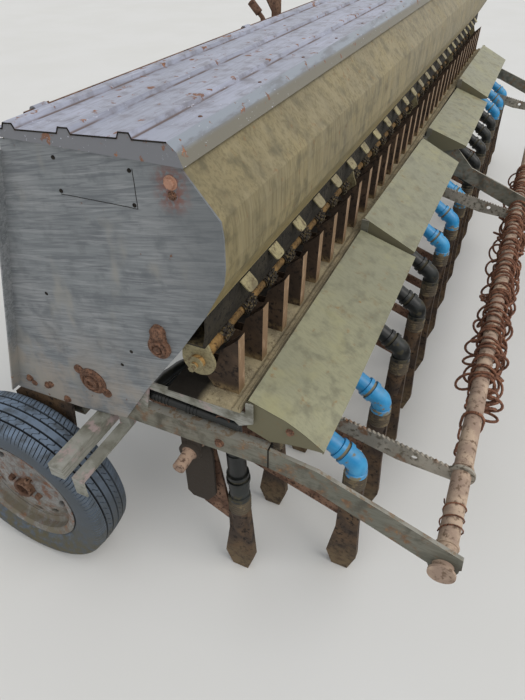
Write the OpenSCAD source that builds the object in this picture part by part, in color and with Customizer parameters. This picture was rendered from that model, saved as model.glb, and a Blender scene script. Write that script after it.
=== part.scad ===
// Seed drill, 32 rows on 4 m, with two wheels, hinged trays and a trailing harrow pipe.
// Millimetres. X runs along the working width, Y forward in travel, Z up from the ground.
// Sections of the machine are drawn from a datum: the lower rear corner of an end plate.

/* [Working width] */
// Number of seed rows, an even number
rows = 32; // [16:2:40]
// Distance between rows
row_pitch = 125; // [110:5:150]

/* [Height] */
// Height of the datum above the wheel axle
axle_drop = 313; // [290:1:340]

/* [End plates] */
// Thickness of an end plate
plate_t = 4; // [3:0.5:8]
// Width of the flange on the front edge of an end plate
plate_flange = 30; // [15:1:40]
// Gap between the closed lid and the end plates that it rests on
lid_seat = 0.5; // [0.3:0.1:2]

/* [Hopper] */
// Thickness of the hopper sheets
wall_t = 3; // [2:0.5:5]
// Reach of the hopper bulge behind the datum
bulge = 300; // [280:1:320]
// Distance of the front wall ahead of the datum
front_wall_y = 147; // [130:1:150]
// Height of the lower edge of the rear wall
rear_edge_z = 383; // [370:1:395]
// Width of one pull tab
tab_w = 45; // [30:1:60]
// Distance between pull tabs
tab_pitch = 150; // [120:1:200]
// Length of a pull tab
tab_len = 34; // [20:1:40]
// Middle of the first pull tab from the left end plate
tab_first = 172; // [100:1:200]

/* [Lid] */
// Thickness of the lid sheet
lid_t = 2; // [1.5:0.5:3]
// Height of a rib on the lid
rib_h = 10; // [5:1:14]
// Width of a rib at its top
rib_top = 20; // [12:1:30]
// Distance between ribs
rib_pitch = 123.5; // [110:0.5:130]
// Side gap between the lid skirts and the end plates
lid_gap = 5; // [4:0.5:8]
// Diameter of the lid hinge rod
lid_rod_d = 10; // [6:1:12]

/* [Metering] */
// Diameter of the metering shaft
shaft_d = 16; // [12:1:20]
// Diameter of the barrel at the shaft's left end
barrel_d = 34; // [28:1:36]
// Outer diameter of a toothed ring
ring_d = 44; // [32:1:46]
// Teeth on a ring
ring_teeth = 12; // [8:1:20]
// Width of a housing
housing_w = 46; // [36:1:56]
// Width of a seed chute
chute_w = 30; // [20:1:40]
// Thickness of chute sheet
chute_t = 2; // [1.5:0.5:3]
// Thickness of the funnel plate
funnel_plate_t = 4; // [3:0.5:6]

/* [Trays] */
// Width of a tray from its hinge to its outer edge
tray_w = 185; // [150:1:200]
// Thickness of tray sheet
tray_t = 2.5; // [2:0.5:4]
// Depth of a tray end cheek
cheek_d = 75; // [60:1:80]
// Diameter of a tray hinge pin
tray_pin_d = 10; // [8:1:14]

/* [Frame] */
// Height of a side beam
beam_h = 60; // [50:1:70]
// Width of a side beam
beam_w = 25; // [20:1:40]
// Side of the square cross tubes
cross_s = 60; // [50:1:70]
// Wall of the cross tubes
cross_wall = 5; // [4:1:8]

/* [Wheels] */
// Outer diameter of a tyre
tyre_d = 562; // [540:2:600]
// Width of a tyre
tyre_w = 145; // [130:1:146]
// Diameter of the rim over its flanges
rim_d = 365; // [340:1:380]
// Gap between the tyre and the end plate
tyre_gap = 6; // [5:0.5:12]
// Diameter of the stub axle
axle_d = 35; // [28:1:45]

/* [Coulters] */
// Outer diameter of a seed tube
tube_d = 50; // [36:1:54]
// Distance of the front coulters behind the datum
front_rank_y = 274; // [250:1:300]
// Distance of the rear coulters behind the datum
rear_rank_y = 552; // [500:1:560]
// Diameter of the coulter lift shaft
lift_d = 32; // [25:1:40]

/* [Harrow] */
// Outer diameter of the harrow pipe
pipe_d = 48; // [40:1:60]
// Distance of the harrow pipe behind the datum
pipe_y = 803; // [780:1:830]
// Depth of the harrow pipe below the datum
pipe_drop = 128; // [100:1:150]
// Thickness of the harrow arms
arm_t = 10; // [6:1:14]
// Diameter of a chain link's wire
link_wire = 9; // [6:1:11]

/* [Hitch] */
// Distance between the middles of the lower hitch pins
hitch_w = 825; // [780:5:870]
// Diameter of a lower hitch pin
lower_pin_d = 28; // [22:1:36]
// Diameter of the top link hole
top_hole_d = 25.4; // [19:0.1:32]
// Height of the top link hole above the lower pins
mast_h = 610; // [560:5:660]

/* [Hidden] */
$fn = 48;
eps = 0.3; // running gap between curved faces on different bodies

hopper_w = rows * row_pitch;
half_w = hopper_w / 2;
tyre_r = tyre_d / 2;
datum_z = tyre_r + axle_drop;
axle_y = 327; // wheel axle ahead of the datum
rear_reach = pipe_y + 38; // tips of the harrow arms behind the datum
front_reach = axle_y + tyre_r;
datum_y = (rear_reach - front_reach) / 2;
LEFT = -1;
RIGHT = 1;
lift_shaft_y = -178;
lift_shaft_z = -43;
middle_arm_x = 1988; // middle harrow arm, from the left end plate
serrated_xs = [266, 1896, 3726]; // toothed bars, from the left end plate

// Hopper section, [y, z] from the datum
lid_front_z = 688;
lid_rear_y = -211;
lid_rear_z = 712;
lip_y = -238;
lip_z = 674;
wall_top_y = -230;
wall_top_z = 668;
front_wall_top = 668;
trough_front_y = -165;
trough_front_z = 318;
floor_break_z = 520;
plate_drop = 28; // drop of the plate's lower edge at its front end
plate_low_y = 358;

// Metering section
shaft_y = -217;
shaft_z = 252;
trough_low_y = -242; // rear corner of the trough's floor
trough_low_z = 300;
housing_rear_y = -194; // the housings hang in front of the shaft
housing_low_z = 212;
mouth_z = 224; // mouth of a chute, under the shaft
chute_rear_y = -291;
funnel_z = 150; // top of the funnel plate
hinge_y = -336;
hinge_z = 166;

// Trays from the left end plate: start, end, lift of the hinge at the start and at the end, tilt below level
TRAYS = [[14, 867, 0, 0, 17], [886, 1850, 32, -8, 25], [1983, 2842, 0, -22, 18], [2860, 3986, 22, 6, 25]];
T_START = 0;
T_END = 1;
T_LIFT_START = 2;
T_LIFT_END = 3;
T_TILT = 4;

lid_hinge_y = 162;
lid_hinge_z = 684;
lower_pin_z = -94; // lower hitch pins, 500 above the ground
lower_pin_y = 560;
top_pin_y = 470;

function row_x(i) = (i - (rows - 1) / 2) * row_pitch;
function from_left(x) = x - half_w;
lid_fall = (lid_rear_z - lid_front_z) / (front_wall_y - lid_rear_y);
function slope_z(y) = lid_front_z + lid_fall * (front_wall_y - y);

// Places a part's own frame at the datum
module at_datum() translate([0, datum_y, datum_z]) children();

// Plate of thickness t standing across X, its outline given as [y, z], starting at x
module across(x, t) translate([x, 0, 0]) rotate([90, 0, 90]) linear_extrude(t) children();

// Round bar along X from x0 to x1 at [y, z]
module bar_x(x0, x1, y, z, d) translate([x0, y, z]) rotate([0, 90, 0]) cylinder(d = d, h = x1 - x0);

// Square tube along X
module tube_x(x0, x1, y, z, s, wall) {
    difference() {
        translate([x0, y - s / 2, z - s / 2]) cube([x1 - x0, s, s]);
        translate([x0 - 1, y - s / 2 + wall, z - s / 2 + wall])
            cube([x1 - x0 + 2, s - 2 * wall, s - 2 * wall]);
    }
}

// Outline of the end plates
plate_front_y = 152; // front edge of the plate under the lid's edge
plate_front_z = 666;
plate_top_y = 140; // the plate's top is set back behind the lid's edge
function under_lid(y) = [y, slope_z(y) - lid_t - lid_seat];
function plate_outline() = [
    [0, 0], [150, -22], [plate_low_y, -plate_drop],
    [plate_front_y, plate_front_z], [plate_top_y, plate_front_z],
    under_lid(plate_top_y), under_lid(lid_rear_y + 2),
    [wall_top_y, wall_top_z + 14], [wall_top_y, wall_top_z],
    [-bulge + 4, 590], [-bulge, 560], [-bulge, 500], [-bulge + 5, 466], [-252, rear_edge_z],
    [-183, 274], [-80, 128]];

module end_plate(side) {
    x0 = side == LEFT ? -half_w - plate_t : half_w;
    flange_x = side == LEFT ? -half_w - plate_flange : half_w + plate_t;
    lean = (plate_front_y - plate_low_y) / (plate_front_z + plate_drop);
    function edge_y(z) = plate_low_y + lean * (z + plate_drop);
    color("slategray") at_datum() {
        across(x0, plate_t) polygon(plate_outline());
        across(flange_x, plate_flange - plate_t)
            polygon([[edge_y(-18) - 4, -18], [edge_y(-18), -18], [edge_y(645), 645], [edge_y(645) - 4, 645]]);
    }
}

module end_plate_left() end_plate(LEFT);
module end_plate_right() end_plate(RIGHT);

// Bent rear wall: shoulder, bulge and tucked lower part
module hopper_rear_wall() {
    outer = [[wall_top_y, wall_top_z], [-bulge + 4, 590], [-bulge, 560], [-bulge, 500], [-bulge + 5, 466],
        [-252, rear_edge_z]];
    inner = [[-252 + wall_t, rear_edge_z + 1], [-bulge + 5 + wall_t, 466 + 1], [-bulge + wall_t, 500],
        [-bulge + wall_t, 560 - 1], [-bulge + 4 + wall_t, 590 - 2], [wall_top_y + wall_t, wall_top_z - 1]];
    color("darkolivegreen") at_datum() {
        across(-half_w, hopper_w) polygon(concat(outer, inner));
        // inward flange that the lid's lip closes on
        translate([-half_w, wall_top_y, wall_top_z - wall_t]) cube([hopper_w, 30, wall_t]);
    }
}

// Front wall with the sloping floor in one bent sheet
module hopper_front_wall() {
    color("darkolivegreen") at_datum() across(-half_w, hopper_w)
        polygon([[front_wall_y, front_wall_top], [front_wall_y, floor_break_z],
            [trough_front_y, trough_front_z - wall_t], [trough_front_y, trough_front_z],
            [front_wall_y - wall_t, floor_break_z + wall_t], [front_wall_y - wall_t, front_wall_top]]);
}

// Trough under the hopper that feeds the metering housings
module metering_trough() {
    mouth_y = -252 + wall_t;
    color("dimgray") at_datum() difference() {
        across(-half_w, hopper_w) polygon([[mouth_y - 15.5, rear_edge_z + 31],
            [mouth_y, rear_edge_z + 1], [mouth_y - 1, 340],
            [trough_low_y, trough_low_z], [-180, trough_low_z], [trough_front_y, trough_front_z - wall_t],
            [trough_front_y, trough_front_z], [-182, trough_low_z + 4], [trough_low_y + 4, trough_low_z + 4],
            [mouth_y + 4, 342], [mouth_y + wall_t, rear_edge_z + 1],
            [mouth_y - 12.5, rear_edge_z + 32.5]]);
        for (i = [0:rows - 1])
            translate([row_x(i) - 15, housing_rear_y + 2, trough_low_z - 10]) cube([30, 9, 20]);
    }
}

// Pull tabs of the shutters, sloping out from under the rear wall's lower edge
module pull_tabs() {
    count = floor((hopper_w - 2 * tab_first) / tab_pitch) + 1;
    color("darkkhaki") at_datum()
        for (i = [0:count - 1])
            translate([from_left(tab_first + i * tab_pitch), -249.4, rear_edge_z - 8]) rotate([45, 0, 0])
                translate([0, -tab_len, 0]) linear_extrude(3) {
                    translate([-tab_w / 2, tab_w / 4]) square([tab_w, tab_len - tab_w / 4]);
                    translate([-tab_w / 4, 0]) square([tab_w / 2, tab_w / 2]);
                    for (s = [-1, 1])
                        translate([s * tab_w / 4, tab_w / 4]) circle(r = tab_w / 4);
                }
}

hinge_xs = [-0.94, -0.47, 0, 0.47, 0.94];
module lid_hinge_rod() {
    color("saddlebrown") at_datum() {
        bar_x(-0.96 * half_w, 0.96 * half_w, lid_hinge_y, lid_hinge_z, lid_rod_d);
        for (k = hinge_xs)
            across(k * half_w + 22, 6)
                polygon([[front_wall_y, 610], [front_wall_y, 655], [lid_hinge_y - 8, lid_hinge_z],
                    [lid_hinge_y, lid_hinge_z + 8], [lid_hinge_y + 8, lid_hinge_z], [lid_hinge_y + 6, 640]]);
    }
}

lid_x = half_w + plate_t + lid_gap + lid_t;
// Lid sheet with ribs, rear lip and two end skirts
module lid() {
    front_y = front_wall_y + 1;
    edge_h = 12; // depth of the front edge
    skirt_h = 16; // depth of a skirt at its front end
    foot = rib_top / 2 + 5;
    function rib(c) = [[c + foot, slope_z(c + foot)], [c + rib_top / 2, slope_z(c) + rib_h],
        [c - rib_top / 2, slope_z(c) + rib_h], [c - foot, slope_z(c - foot)]];
    middle = -8.5; // place of the middle rib
    top = concat([[front_y, lid_front_z - edge_h], [front_y, slope_z(front_y)]],
        rib(middle + rib_pitch), rib(middle), rib(middle - rib_pitch),
        [[lid_rear_y, lid_rear_z], [lid_rear_y - 17, lid_rear_z - 14], [lip_y, lip_z]]);
    n = len(top);
    under = [for (i = [0:n - 1]) top[n - 1 - i] + (i == 0 ? [lid_t, 0] : i == 1 ? [lid_t, -1]
        : i == n - 1 ? [-lid_t, 0] : i == n - 2 ? [-lid_t, -lid_t] : [0, -lid_t])];
    color("rosybrown") at_datum() {
        across(-lid_x, 2 * lid_x) polygon(concat(top, under));
        for (x = [-lid_x, lid_x - lid_t])
            across(x, lid_t)
                polygon(concat([[front_y, lid_front_z - skirt_h]], [for (i = [1:n - 1]) top[i]]));
        for (k = hinge_xs)
            difference() {
                union() {
                    bar_x(k * half_w - 18, k * half_w + 18, lid_hinge_y, lid_hinge_z, lid_rod_d + 9);
                    translate([k * half_w - 18, front_y - 1, lid_hinge_z - 2])
                        cube([36, lid_hinge_y - front_y, 4]);
                }
                bar_x(k * half_w - 19, k * half_w + 19, lid_hinge_y, lid_hinge_z, lid_rod_d + 2 * eps);
            }
    }
}

// Metering housings under the trough, one at each row, clear of the shaft behind them
module metering_housings() {
    color("dimgray") at_datum() for (i = [0:rows - 1])
        across(row_x(i) - housing_w / 2, housing_w)
            polygon([[housing_rear_y, trough_low_z], [housing_rear_y, housing_low_z],
                [-178, housing_low_z - 6], [-166, housing_low_z + 18], [-166, trough_low_z + 14],
                [-180, trough_low_z]]);
}

// Chutes: flat boxes, open above and below, from the housings under the shaft and through the funnel plate
chute_front_y = -231;
chute_end_z = 132;
module seed_chutes() {
    in_rear = chute_rear_y + chute_t;
    in_front = chute_front_y - chute_t;
    color("saddlebrown") at_datum() for (i = [0:rows - 1]) difference() {
        across(row_x(i) - chute_w / 2, chute_w)
            polygon([[housing_rear_y, mouth_z], [-240, mouth_z], [-250, 262], [chute_rear_y - 3, 304],
                [chute_rear_y, funnel_z], [chute_rear_y + 6, chute_end_z], [chute_front_y - 4, chute_end_z],
                [chute_front_y, funnel_z], [housing_rear_y, housing_low_z - 6]]);
        across(row_x(i) - chute_w / 2 + chute_t, chute_w - 2 * chute_t)
            polygon([[housing_rear_y - chute_t, mouth_z + 16], [-230, mouth_z + 16], [-256, 300],
                [in_rear, 310], [in_rear, funnel_z], [in_rear + 6, chute_end_z - 1],
                [in_front - 4, chute_end_z - 1], [in_front, funnel_z + 1],
                [housing_rear_y - chute_t, housing_low_z - 4]]);
    }
}

// Funnel plate with a rolled ridge and a hole for each chute
module funnel_plate() {
    low = funnel_z - funnel_plate_t;
    rear = -317;
    depth = 182;
    hole_gap = 3; // between a chute and its hole
    color("tan") at_datum() difference() {
        union() {
            translate([-half_w, rear, low]) cube([hopper_w, depth, funnel_plate_t]);
            translate([-half_w, rear, low]) cube([hopper_w, 3, 16]);
            across(-half_w, hopper_w) intersection() {
                translate([rear + 11, funnel_z - 1]) circle(r = 9);
                translate([rear - 1, funnel_z - 1]) square([30, 12]);
            }
        }
        hole_w = chute_w + 2 * hole_gap;
        hole_l = chute_front_y - chute_rear_y + 2 * hole_gap;
        for (i = [0:rows - 1])
            translate([row_x(i) - hole_w / 2, chute_rear_y - hole_gap, low - 1])
                cube([hole_w, hole_l, funnel_plate_t + 2]);
    }
}

// Funnels under the plate, one for each row
module funnels() {
    mouth = 84;
    neck = 40;
    neck_z = 96;
    wall = 3;
    height = funnel_z - funnel_plate_t - neck_z;
    color("dodgerblue") at_datum() for (i = [0:rows - 1]) translate([row_x(i), funnel_y, 0]) difference() {
        union() {
            translate([0, 0, neck_z]) cylinder(d1 = neck, d2 = mouth, h = height);
            translate([0, 0, neck_z - 20]) cylinder(d = neck, h = 20);
        }
        translate([0, 0, neck_z + 1]) cylinder(d1 = neck - 2 * wall, d2 = mouth - 2 * wall, h = height);
        translate([0, 0, neck_z - 21]) cylinder(d = neck - 2 * wall, h = 30);
    }
}

// Plates with rounded feet that hang the metering shaft
module shaft_brackets() {
    beside = 25; // from a quarter of the width to the gap between a coupling and the next housing
    xs = [12, hopper_w / 4 + beside, hopper_w / 2 + beside, hopper_w * 3 / 4 + beside, hopper_w - 18];
    color("darkkhaki") at_datum() for (x = xs) across(from_left(x), 6) difference() {
        union() {
            translate([shaft_y, shaft_z]) circle(r = 39);
            polygon([[shaft_y - 39, shaft_z], [-241, trough_low_z], [-182, trough_low_z],
                [shaft_y + 39, shaft_z]]);
        }
        translate([shaft_y, shaft_z]) circle(d = shaft_d + 2 * eps);
    }
}

// Shaft with a coupling after each row, an end nut and a barrel
module metering_shaft() {
    module ring(x) across(x, 14) difference() {
        union() {
            circle(d = ring_d - 8);
            for (k = [0:ring_teeth - 1]) rotate(k * 360 / ring_teeth)
                translate([ring_d / 2 - 6, -2.5]) square([6, 5]);
        }
        circle(d = shaft_d + 6);
    }
    module coupling(x) {
        bar_x(x, x + 10, 0, 0, ring_d - 8);
        bar_x(x + 10, x + 48, 0, 0, shaft_d + 8);
        for (start = [16, 34]) ring(x + start);
    }
    color("peru") at_datum() translate([0, shaft_y, shaft_z]) {
        bar_x(from_left(-9), from_left(hopper_w - 6), 0, 0, shaft_d);
        for (i = [0:rows - 2]) coupling(row_x(i) + 30);
        bar_x(from_left(1), from_left(11), 0, 0, 34);
        bar_x(from_left(18.5), from_left(94), 0, 0, barrel_d);
    }
}

// Places a tray's own frame, which runs along its hinge from the middle
module at_hinge(row) {
    mid_x = from_left((row[T_START] + row[T_END]) / 2);
    mid_lift = (row[T_LIFT_START] + row[T_LIFT_END]) / 2;
    roll = atan2(row[T_LIFT_START] - row[T_LIFT_END], row[T_END] - row[T_START]);
    translate([mid_x, hinge_y, hinge_z + mid_lift]) rotate([0, roll, 0]) children();
}

// One tray: sheet with a turned-down lip, end cheeks with hinge bores
module tray(index) {
    row = TRAYS[index];
    half = (row[T_END] - row[T_START]) / 2;
    cheek_front = 10 - cheek_d * tan(row[T_TILT]); // keeps the cheek's front edge upright
    color("darkkhaki") at_datum() at_hinge(row) rotate([row[T_TILT], 0, 0]) difference() {
        union() {
            translate([-half, -tray_w, 7]) cube([2 * half, tray_w + 9, tray_t]);
            translate([-half, -tray_w, 1]) cube([2 * half, tray_t, 6]);
            for (x = [-half, half - tray_t]) across(x, tray_t)
                polygon([[9, 8], [-tray_w, 8], [-tray_w, 1], [-72, -cheek_d - 4], [cheek_front, -cheek_d],
                    [9, -4]]);
        }
        bar_x(-half - 1, half + 1, 0, 0, tray_pin_d + 2 * eps);
    }
}

// Hinge pin at one end of a tray: in by 10 mm, out by the given length
module tray_pin(row, s, out) {
    half = (row[T_END] - row[T_START]) / 2;
    at_hinge(row) bar_x(s < 0 ? -half - out : half - 10, s < 0 ? -half + 10 : half + out, 0, 0, tray_pin_d);
}

module tray_1() tray(0);
module tray_2() tray(1);
module tray_3() tray(2);
module tray_4() tray(3);

// Brackets between the trays: they stand on the rear cross tube, under the funnel plate
module tray_brackets() {
    t = 5;
    gap_before = 5.5; // between a bracket and the end of the tray before it
    gap_after = 8; // between a bracket and the start of the next tray
    rear = hinge_y - 14;
    front = hinge_y + 9;
    under = funnel_z - funnel_plate_t;
    module bracket(x, low, high) across(from_left(x), t)
        polygon([[-130, beam_top], [-190, beam_top], [-235, 72], [-318, 112], [rear, hinge_z + low - 12],
            [rear, hinge_z + high + 12], [front, hinge_z + high + 12], [front, 140],
            [-309, under], [-303, under], [-262, 92], [-160, 92], [-150, under], [-140, under]]);
    color("darkolivegreen") at_datum() for (i = [0:2]) {
        this = TRAYS[i];
        next = TRAYS[i + 1];
        x0 = this[T_END] + gap_before;
        x1 = next[T_START] - gap_after - t;
        wide = x1 > x0 + t;
        lifts = [this[T_LIFT_END], next[T_LIFT_START]];
        bracket(x0, wide ? lifts[0] : min(lifts), wide ? lifts[0] : max(lifts));
        if (wide) bracket(x1, lifts[1], lifts[1]);
        tray_pin(this, 1, gap_before + t / 2);
        tray_pin(next, -1, next[T_START] - (wide ? x1 : x0) - t / 2);
    }
}

beam_top = 56;
// Side plates that carry the ends of the funnel plate and the outer trays
module side_arm(side) {
    t = 5;
    row = side == LEFT ? TRAYS[0] : TRAYS[3];
    lift = side == LEFT ? row[T_LIFT_START] : row[T_LIFT_END];
    outer_gap = side == LEFT ? row[T_START] : hopper_w - row[T_END];
    x0 = side == LEFT ? -half_w + 3 : half_w - 3 - t;
    color("slategray") at_datum() {
        across(x0, t) {
            polygon([[-66, 126], [-84, funnel_z - funnel_plate_t], [hinge_y + 8, funnel_z - funnel_plate_t],
                [hinge_y + 8, hinge_z + lift + 9], [hinge_y - 9, hinge_z + lift + 9], [hinge_y - 9, 120],
                [-312, 102], [-300, 112]]);
            // foot that joins the plate to the side beam
            polygon([[-20, beam_top], [-66, beam_top], [-80, 127], [-84, funnel_z - funnel_plate_t],
                [-40, funnel_z - funnel_plate_t], [-14, 120]]);
        }
        tray_pin(row, side, outer_gap - 3);
    }
}

module side_arm_left() side_arm(LEFT);
module side_arm_right() side_arm(RIGHT);

module side_beam(side) {
    x0 = side == LEFT ? -half_w : half_w - beam_w;
    color("darkolivegreen") at_datum() difference() {
        translate([x0, -383, beam_top - beam_h]) cube([beam_w, 383 + 330, beam_h]);
        translate([x0 + 4, -380, beam_top - beam_h + 4]) cube([beam_w - 8, 383 + 350, beam_h - 8]);
    }
}

module side_beam_left() side_beam(LEFT);
module side_beam_right() side_beam(RIGHT);

inner_w = half_w - beam_w;
module rear_cross_tube() {
    color("darkolivegreen") at_datum()
        tube_x(-inner_w, inner_w, -160, beam_top - cross_s / 2, cross_s, cross_wall);
}

module front_beam() {
    color("darkolivegreen") at_datum() tube_x(-inner_w, inner_w, 290, beam_top - 30, 80, 6);
}

// Bar under the frame that the coulter arms hang from, on hangers from the front beam
module coulter_bar() {
    color("darkolivegreen") at_datum() {
        tube_x(-inner_w + 10, inner_w - 10, 210, -80, 50, 5);
        for (k = [-0.9, -0.45, 0.45, 0.9])
            across(k * half_w, 10) polygon([[225, -55], [195, -55], [250, 66], [250, -14], [260, -14]]);
    }
}

// Shaft that lifts and presses the coulters, with its levers, and hangers under the side beams
module lift_shaft() {
    color("sienna") at_datum() {
        bar_x(-half_w - 60, half_w + 60, lift_shaft_y, lift_shaft_z, lift_d);
        for (x = [-half_w - 9, half_w - 1]) bar_x(x, x + 10, lift_shaft_y, lift_shaft_z, lift_d + 26);
        for (x = [-half_w + 1, half_w - 9]) across(x, 8)
            polygon([[lift_shaft_y - 26, beam_top - beam_h], [lift_shaft_y - 26, lift_shaft_z - 10],
                [lift_shaft_y - 12, lift_shaft_z - 26], [lift_shaft_y + 12, lift_shaft_z - 26],
                [lift_shaft_y + 26, lift_shaft_z - 10], [lift_shaft_y + 26, beam_top - beam_h]]);
        // lever plates inside the side beams
        for (x = [from_left(34), from_left(hopper_w - 42)]) across(x, 8)
            polygon([[lift_shaft_y + 24, lift_shaft_z + 20], [lift_shaft_y + 50, lift_shaft_z - 60],
                [lift_shaft_y + 50, -268], [lift_shaft_y + 34, -285], [lift_shaft_y - 12, -285],
                [lift_shaft_y - 38, -244], [lift_shaft_y - 38, lift_shaft_z - 30],
                [lift_shaft_y - 24, lift_shaft_z + 20]]);
    }
}

// Leg plate under a side beam, with the stub axle that carries the wheel
module wheel_leg(side) {
    t = 10;
    x0 = side == LEFT ? -half_w : half_w - t;
    hub_out = half_w + plate_t + tyre_gap + tyre_w / 2 + 24;
    color("dimgray") at_datum() {
        across(x0, t) union() {
            polygon([[180, beam_top - beam_h], [326, beam_top - beam_h], [385, -60],
                [axle_y + 54, -axle_drop + 10], [axle_y - 54, -axle_drop + 10], [200, -130]]);
            translate([axle_y, -axle_drop]) circle(r = 55);
        }
        bar_x(side == LEFT ? -hub_out : half_w, side == LEFT ? -half_w : hub_out, axle_y, -axle_drop, axle_d);
    }
}

module wheel_leg_left() wheel_leg(LEFT);
module wheel_leg_right() wheel_leg(RIGHT);

// Square stub and flat bar that reach out over the wheel
module side_bracket(side) {
    reach = 190;
    module piece(depth, y, w, z, h) {
        x0 = side == LEFT ? -half_w - depth : half_w - beam_w;
        translate([x0, y, z]) cube([depth + beam_w, w, h]);
    }
    module spacer(y, w, z) {
        x0 = side == LEFT ? -half_w : half_w - beam_w;
        translate([x0, y, z]) cube([beam_w, w, beam_top - beam_h - z]);
    }
    tip_x = side == LEFT ? -half_w - reach : half_w + reach - 4;
    color("slategray") at_datum() {
        piece(reach, 55, 40, -56, 40);
        spacer(55, 40, -16);
        piece(reach, -2, 32, -42, 8);
        spacer(-2, 32, -34);
        translate([tip_x, -2, -92]) cube([4, 32, 50]);
    }
}

module side_bracket_left() side_bracket(LEFT);
module side_bracket_right() side_bracket(RIGHT);

// Three-point headstock on the front beam: mast plates with braces, and cheeks with pins that point outwards
module headstock() {
    beam_front = 330;
    t = 12;
    seat_w = 56; // length of pin that a link's ball takes
    pin_end = 14; // pin beyond the ball, for its lock
    top_z = lower_pin_z + mast_h;
    mast_gap = 52;
    color("darkolivegreen") at_datum() {
        for (x = [-mast_gap / 2 - t, mast_gap / 2]) {
            difference() {
                across(x, t) polygon([[beam_front, -14], [beam_front, 66], [top_pin_y - 40, top_z - 90],
                    [top_pin_y - 34, top_z + 28], [top_pin_y + 28, top_z + 28], [top_pin_y + 30, top_z - 30],
                    [beam_front + 60, -14]]);
                bar_x(x - 1, x + t + 1, top_pin_y, top_z, top_hole_d);
            }
            across(x, t) polygon([[top_pin_y - 38, top_z - 60], [top_pin_y - 34, top_z], [front_wall_y, 590],
                [front_wall_y, 540]]);
        }
        translate([-mast_gap / 2, beam_front, 150]) cube([mast_gap, 30, 12]);
        for (s = [-1, 1]) {
            face_x = s * (hitch_w - seat_w) / 2;
            end_x = s * (hitch_w + seat_w) / 2 + s * pin_end;
            root_x = face_x - s * t;
            across(min(face_x, root_x), t) polygon([[beam_front, -14], [beam_front, 66],
                [beam_front + 60, 50], [lower_pin_y + 30, lower_pin_z + 30],
                [lower_pin_y + 34, lower_pin_z - 26], [lower_pin_y - 20, lower_pin_z - 34]]);
            bar_x(min(root_x, end_x), max(root_x, end_x), lower_pin_y, lower_pin_z, lower_pin_d);
        }
    }
}

// Hand lever and upright sheet at the front of the hopper
module front_levers() {
    lever_x = 1250;
    sheet_y = 216;
    sheet_t = 5;
    color("sienna") at_datum() {
        across(from_left(lever_x) - 4, 8) polygon([[front_wall_y, 560], [front_wall_y, 620], [168, 664],
            [186, 692], [214, 718], [222, 709], [196, 684], [182, 560]]);
        translate([from_left(lever_x), 202, 700]) rotate([-45, 0, 0]) cylinder(d = 26, h = 44);
        translate([0, sheet_y + sheet_t, 0]) rotate([90, 0, 0]) linear_extrude(sheet_t)
            polygon([[from_left(1400), 560], [from_left(1400), 684], [from_left(1345), 730],
                [from_left(1340), 775], [from_left(1480), 775], [from_left(1480), 560]]);
        for (x = [1404, 1470]) across(from_left(x), 6)
            polygon([[front_wall_y, 570], [front_wall_y, 640], [sheet_y, 640], [sheet_y, 570]]);
    }
}

// Black round tubes beside the side plates, each held by a clamp ring
module pressure_tubes() {
    d = 26;
    ring = 4;
    offset_x = 8 + d / 2 + ring + eps;
    start = [-40, 88];
    end = [-300, 74];
    tilt = atan2(start[1] - end[1], start[0] - end[0]);
    length = norm(start - end);
    clamp_at = 236; // beside the foot of the side plate
    color("black") at_datum() for (x = [-half_w + offset_x, half_w - offset_x])
        translate([x, end[0], end[1]]) rotate([tilt, 0, 0]) rotate([-90, 0, 0]) {
            cylinder(d = d, h = length);
            translate([0, 0, clamp_at]) cylinder(d = d + 2 * ring, h = 18);
        }
}

funnel_y = -262;
tube_top = 75.7;
socket_d = tube_d + 8; // outer diameter of a boot's socket
elbow_rise = 38; // elbow centre above the top of its socket
elbow_d = tube_d + 10;
front_socket_z = -252;
rear_socket_z = -150;
function rank_y(i) = i % 2 == 0 ? front_rank_y : rear_rank_y;
function socket_top(i) = i % 2 == 0 ? front_socket_z : rear_socket_z;

// Telescoping tube from the funnel of row i to its coulter, with collars and an elbow
module seed_tube(i) {
    start = [funnel_y, tube_top];
    socket = socket_top(i);
    bend = [-rank_y(i), socket + elbow_rise];
    run = norm(bend - start);
    tilt = atan2(bend[1] - start[1], start[0] - bend[0]);
    translate([row_x(i), 0, 0]) {
        difference() {
            translate([0, start[0], start[1]]) rotate([-tilt, 0, 0]) rotate([90, 0, 0]) {
                translate([0, 0, -40]) cylinder(d = tube_d - 6, h = run * 0.5 + 40);
                translate([0, 0, run * 0.5]) cylinder(d = tube_d, h = run * 0.5);
                translate([0, 0, run - 52]) cylinder(d = tube_d + 8, h = 10);
                translate([0, 0, run - 32]) cylinder(d = tube_d + 10, h = 12);
            }
            translate([-60, start[0] - 90, tube_top]) cube([120, 180, 90]);
        }
        translate([0, bend[0], bend[1]]) sphere(d = elbow_d);
        translate([0, bend[0], socket + eps]) cylinder(d = tube_d, h = elbow_rise - eps);
        translate([0, bend[0], socket + eps]) cylinder(d1 = socket_d, d2 = tube_d, h = 12);
    }
}

// Rows whose tubes are blue, counted from the left: the others are dark
function is_blue(i) = (i > 0 && i < 4) || (i > 9 && i < 16) || i > 26;

module seed_tubes_blue() {
    color("dodgerblue") at_datum() for (i = [0:rows - 1])
        if (is_blue(i)) seed_tube(i);
}

module seed_tubes_dark() {
    color("darkslategray") at_datum() for (i = [0:rows - 1])
        if (!is_blue(i)) seed_tube(i);
}

boot_front = 30; // front face of a boot ahead of its tube's axis
socket_h = 50;
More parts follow.
